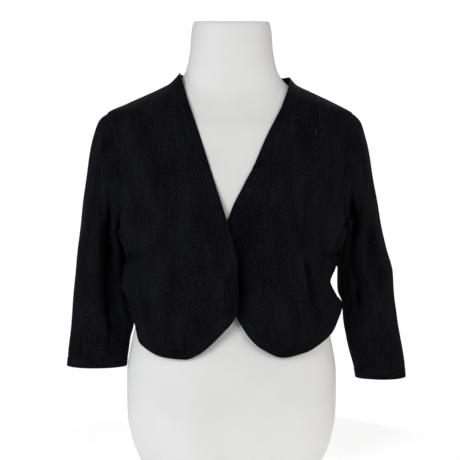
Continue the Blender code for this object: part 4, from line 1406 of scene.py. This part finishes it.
# Each light: its name, the setting with its power, its place, its width and its colour.
LIGHTS = (
    ("key_light", "key", (-1.25, -2.15, 1.25), 1.3, (0.95, 0.975, 1.0)),
    ("fill_light", "fill", (1.4, -2.0, 1.05), 1.5, (1.0, 0.95, 0.89)),
    ("low_light_right", "low", (-1.5, -0.3, 0.2), 0.9, (1.0, 1.0, 1.0)),
    ("low_light_left", "low", (1.5, -0.3, 0.2), 0.9, (1.0, 1.0, 1.0)),
    ("rear_light", "rear", (0.0, 1.9, 2.0), 1.6, (1.0, 1.0, 1.0)),
)
LIGHTS_AIM = (0.0, 0.0, 0.42)
# The camera's place across and up, and the height at which it looks.
CAMERA_X = -0.00255
CAMERA_Z = 0.6
CAMERA_AIM_Z = 0.4114
# The floor's radius and drop, its glow to the camera and to the rest, and the studio's light on the pieces and
# to the camera.
FLOOR_RADIUS = 0.42
FLOOR_DROP = 0.0006
FLOOR_COLOUR = (0.86, 0.86, 0.86, 1.0)
FLOOR_GLOW = (0.48, 0.08)
WHITE = (1.0, 1.0, 1.0, 1.0)
STUDIO_LIGHT = (0.23, 1.05)


def floor_material():
    """Matt white that glows more to the camera than it lights the pieces."""
    shader = Shader("pale_floor")
    matt = {"Base Color": FLOOR_COLOUR, "Roughness": 0.9, "Specular IOR Level": 0.1, "Emission Color": WHITE}
    for key, value in {**matt, "Emission Strength": FLOOR_GLOW[1]}.items():
        shader.feed(shader.surface.inputs[key], value)
    seen = shader.node("ShaderNodeBsdfPrincipled", None, {**matt, "Emission Strength": FLOOR_GLOW[0]})
    to_camera = shader.node("ShaderNodeLightPath").outputs["Is Camera Ray"]
    both = {0: to_camera, 1: shader.surface.outputs[0], 2: seen.outputs[0]}
    mixed = shader.node("ShaderNodeMixShader", None, both)
    shader.feed(shader.tree.nodes["Material Output"].inputs["Surface"], mixed.outputs[0])
    return shader.material


class SHRUG_OT_stage(bpy.types.Operator):
    """Lays the pale floor and sets the soft lights and the camera"""

    bl_idname = "shrug.stage"
    bl_label = "Stage"

    def execute(self, context):
        sizes = context.scene.shrug_stage
        scene = context.scene
        scene.view_settings.view_transform = "Standard"
        bpy.ops.object.select_all(action="DESELECT")
        place = (0.0, 0.0, -FLOOR_DROP)
        bpy.ops.mesh.primitive_circle_add(vertices=96, radius=FLOOR_RADIUS, fill_type="NGON", location=place)
        floor = bpy.context.object
        floor.name = "floor"
        floor.data.materials.append(floor_material())
        world = bpy.data.worlds.new("studio")
        world.use_nodes = True
        tree = world.node_tree
        ray = tree.nodes.new("ShaderNodeLightPath")
        seen = tree.nodes.new("ShaderNodeMapRange")
        seen.inputs["To Min"].default_value = STUDIO_LIGHT[0]
        seen.inputs["To Max"].default_value = STUDIO_LIGHT[1]
        tree.links.new(ray.outputs["Is Camera Ray"], seen.inputs["Value"])
        tree.links.new(seen.outputs[0], tree.nodes["Background"].inputs["Strength"])
        tree.nodes["Background"].inputs["Color"].default_value = (1.0, 1.0, 1.0, 1.0)
        scene.world = world
        for name, strength, place, size, tint in LIGHTS:
            add_light(name, place, size, getattr(sizes, strength), tint)
        camera = bpy.data.cameras.new("camera")
        camera.sensor_width = 36.0
        camera.lens = sizes.lens
        holder = bpy.data.objects.new("camera", camera)
        scene.collection.objects.link(holder)
        holder.location = (CAMERA_X, -sizes.distance, CAMERA_Z)
        aim = Vector((CAMERA_X, 0.0, CAMERA_AIM_Z)) - holder.location
        holder.rotation_euler = aim.to_track_quat("-Z", "Y").to_euler()
        scene.camera = holder
        return {"FINISHED"}


def add_light(name, place, size, power, colour):
    light = bpy.data.lights.new(name, "AREA")
    light.shape = "DISK"
    light.size = size
    light.energy = power
    light.color = colour
    holder = bpy.data.objects.new(name, light)
    bpy.context.scene.collection.objects.link(holder)
    holder.location = place
    holder.rotation_euler = (Vector(LIGHTS_AIM) - holder.location).to_track_quat("-Z", "Y").to_euler()


class SHRUG_PT_panel(bpy.types.Panel):
    """Lists the pieces of the shrug and the sizes that can be changed"""

    bl_idname = "SHRUG_PT_panel"
    bl_label = "Knitted shrug"
    bl_space_type = "VIEW_3D"
    bl_region_type = "UI"
    bl_category = "Shrug"

    def draw(self, context):
        for group in (context.scene.shrug_knit, context.scene.shrug_form, context.scene.shrug_stage):
            for name in group.__annotations__:
                self.layout.prop(group, name)
        for operator in OPERATORS:
            self.layout.operator(operator.bl_idname)


OPERATORS = (
    SHRUG_OT_dress_form, SHRUG_OT_fronts, SHRUG_OT_back, SHRUG_OT_sleeves, SHRUG_OT_lint, SHRUG_OT_stage
)
GROUPS = (KnitSizes, FormSizes, StageSizes)


def register():
    for item in GROUPS + OPERATORS + (SHRUG_PT_panel,):
        bpy.utils.register_class(item)
    bpy.types.Scene.shrug_knit = PointerProperty(type=KnitSizes)
    bpy.types.Scene.shrug_form = PointerProperty(type=FormSizes)
    bpy.types.Scene.shrug_stage = PointerProperty(type=StageSizes)


def unregister():
    del bpy.types.Scene.shrug_stage
    del bpy.types.Scene.shrug_form
    del bpy.types.Scene.shrug_knit
    for item in reversed(GROUPS + OPERATORS + (SHRUG_PT_panel,)):
        bpy.utils.unregister_class(item)


def main():
    register()
    bpy.ops.shrug.dress_form()
    bpy.ops.shrug.fronts()
    bpy.ops.shrug.back()
    bpy.ops.shrug.sleeves()
    bpy.ops.shrug.lint()
    bpy.ops.shrug.stage()


if __name__ == "__main__":
    main()
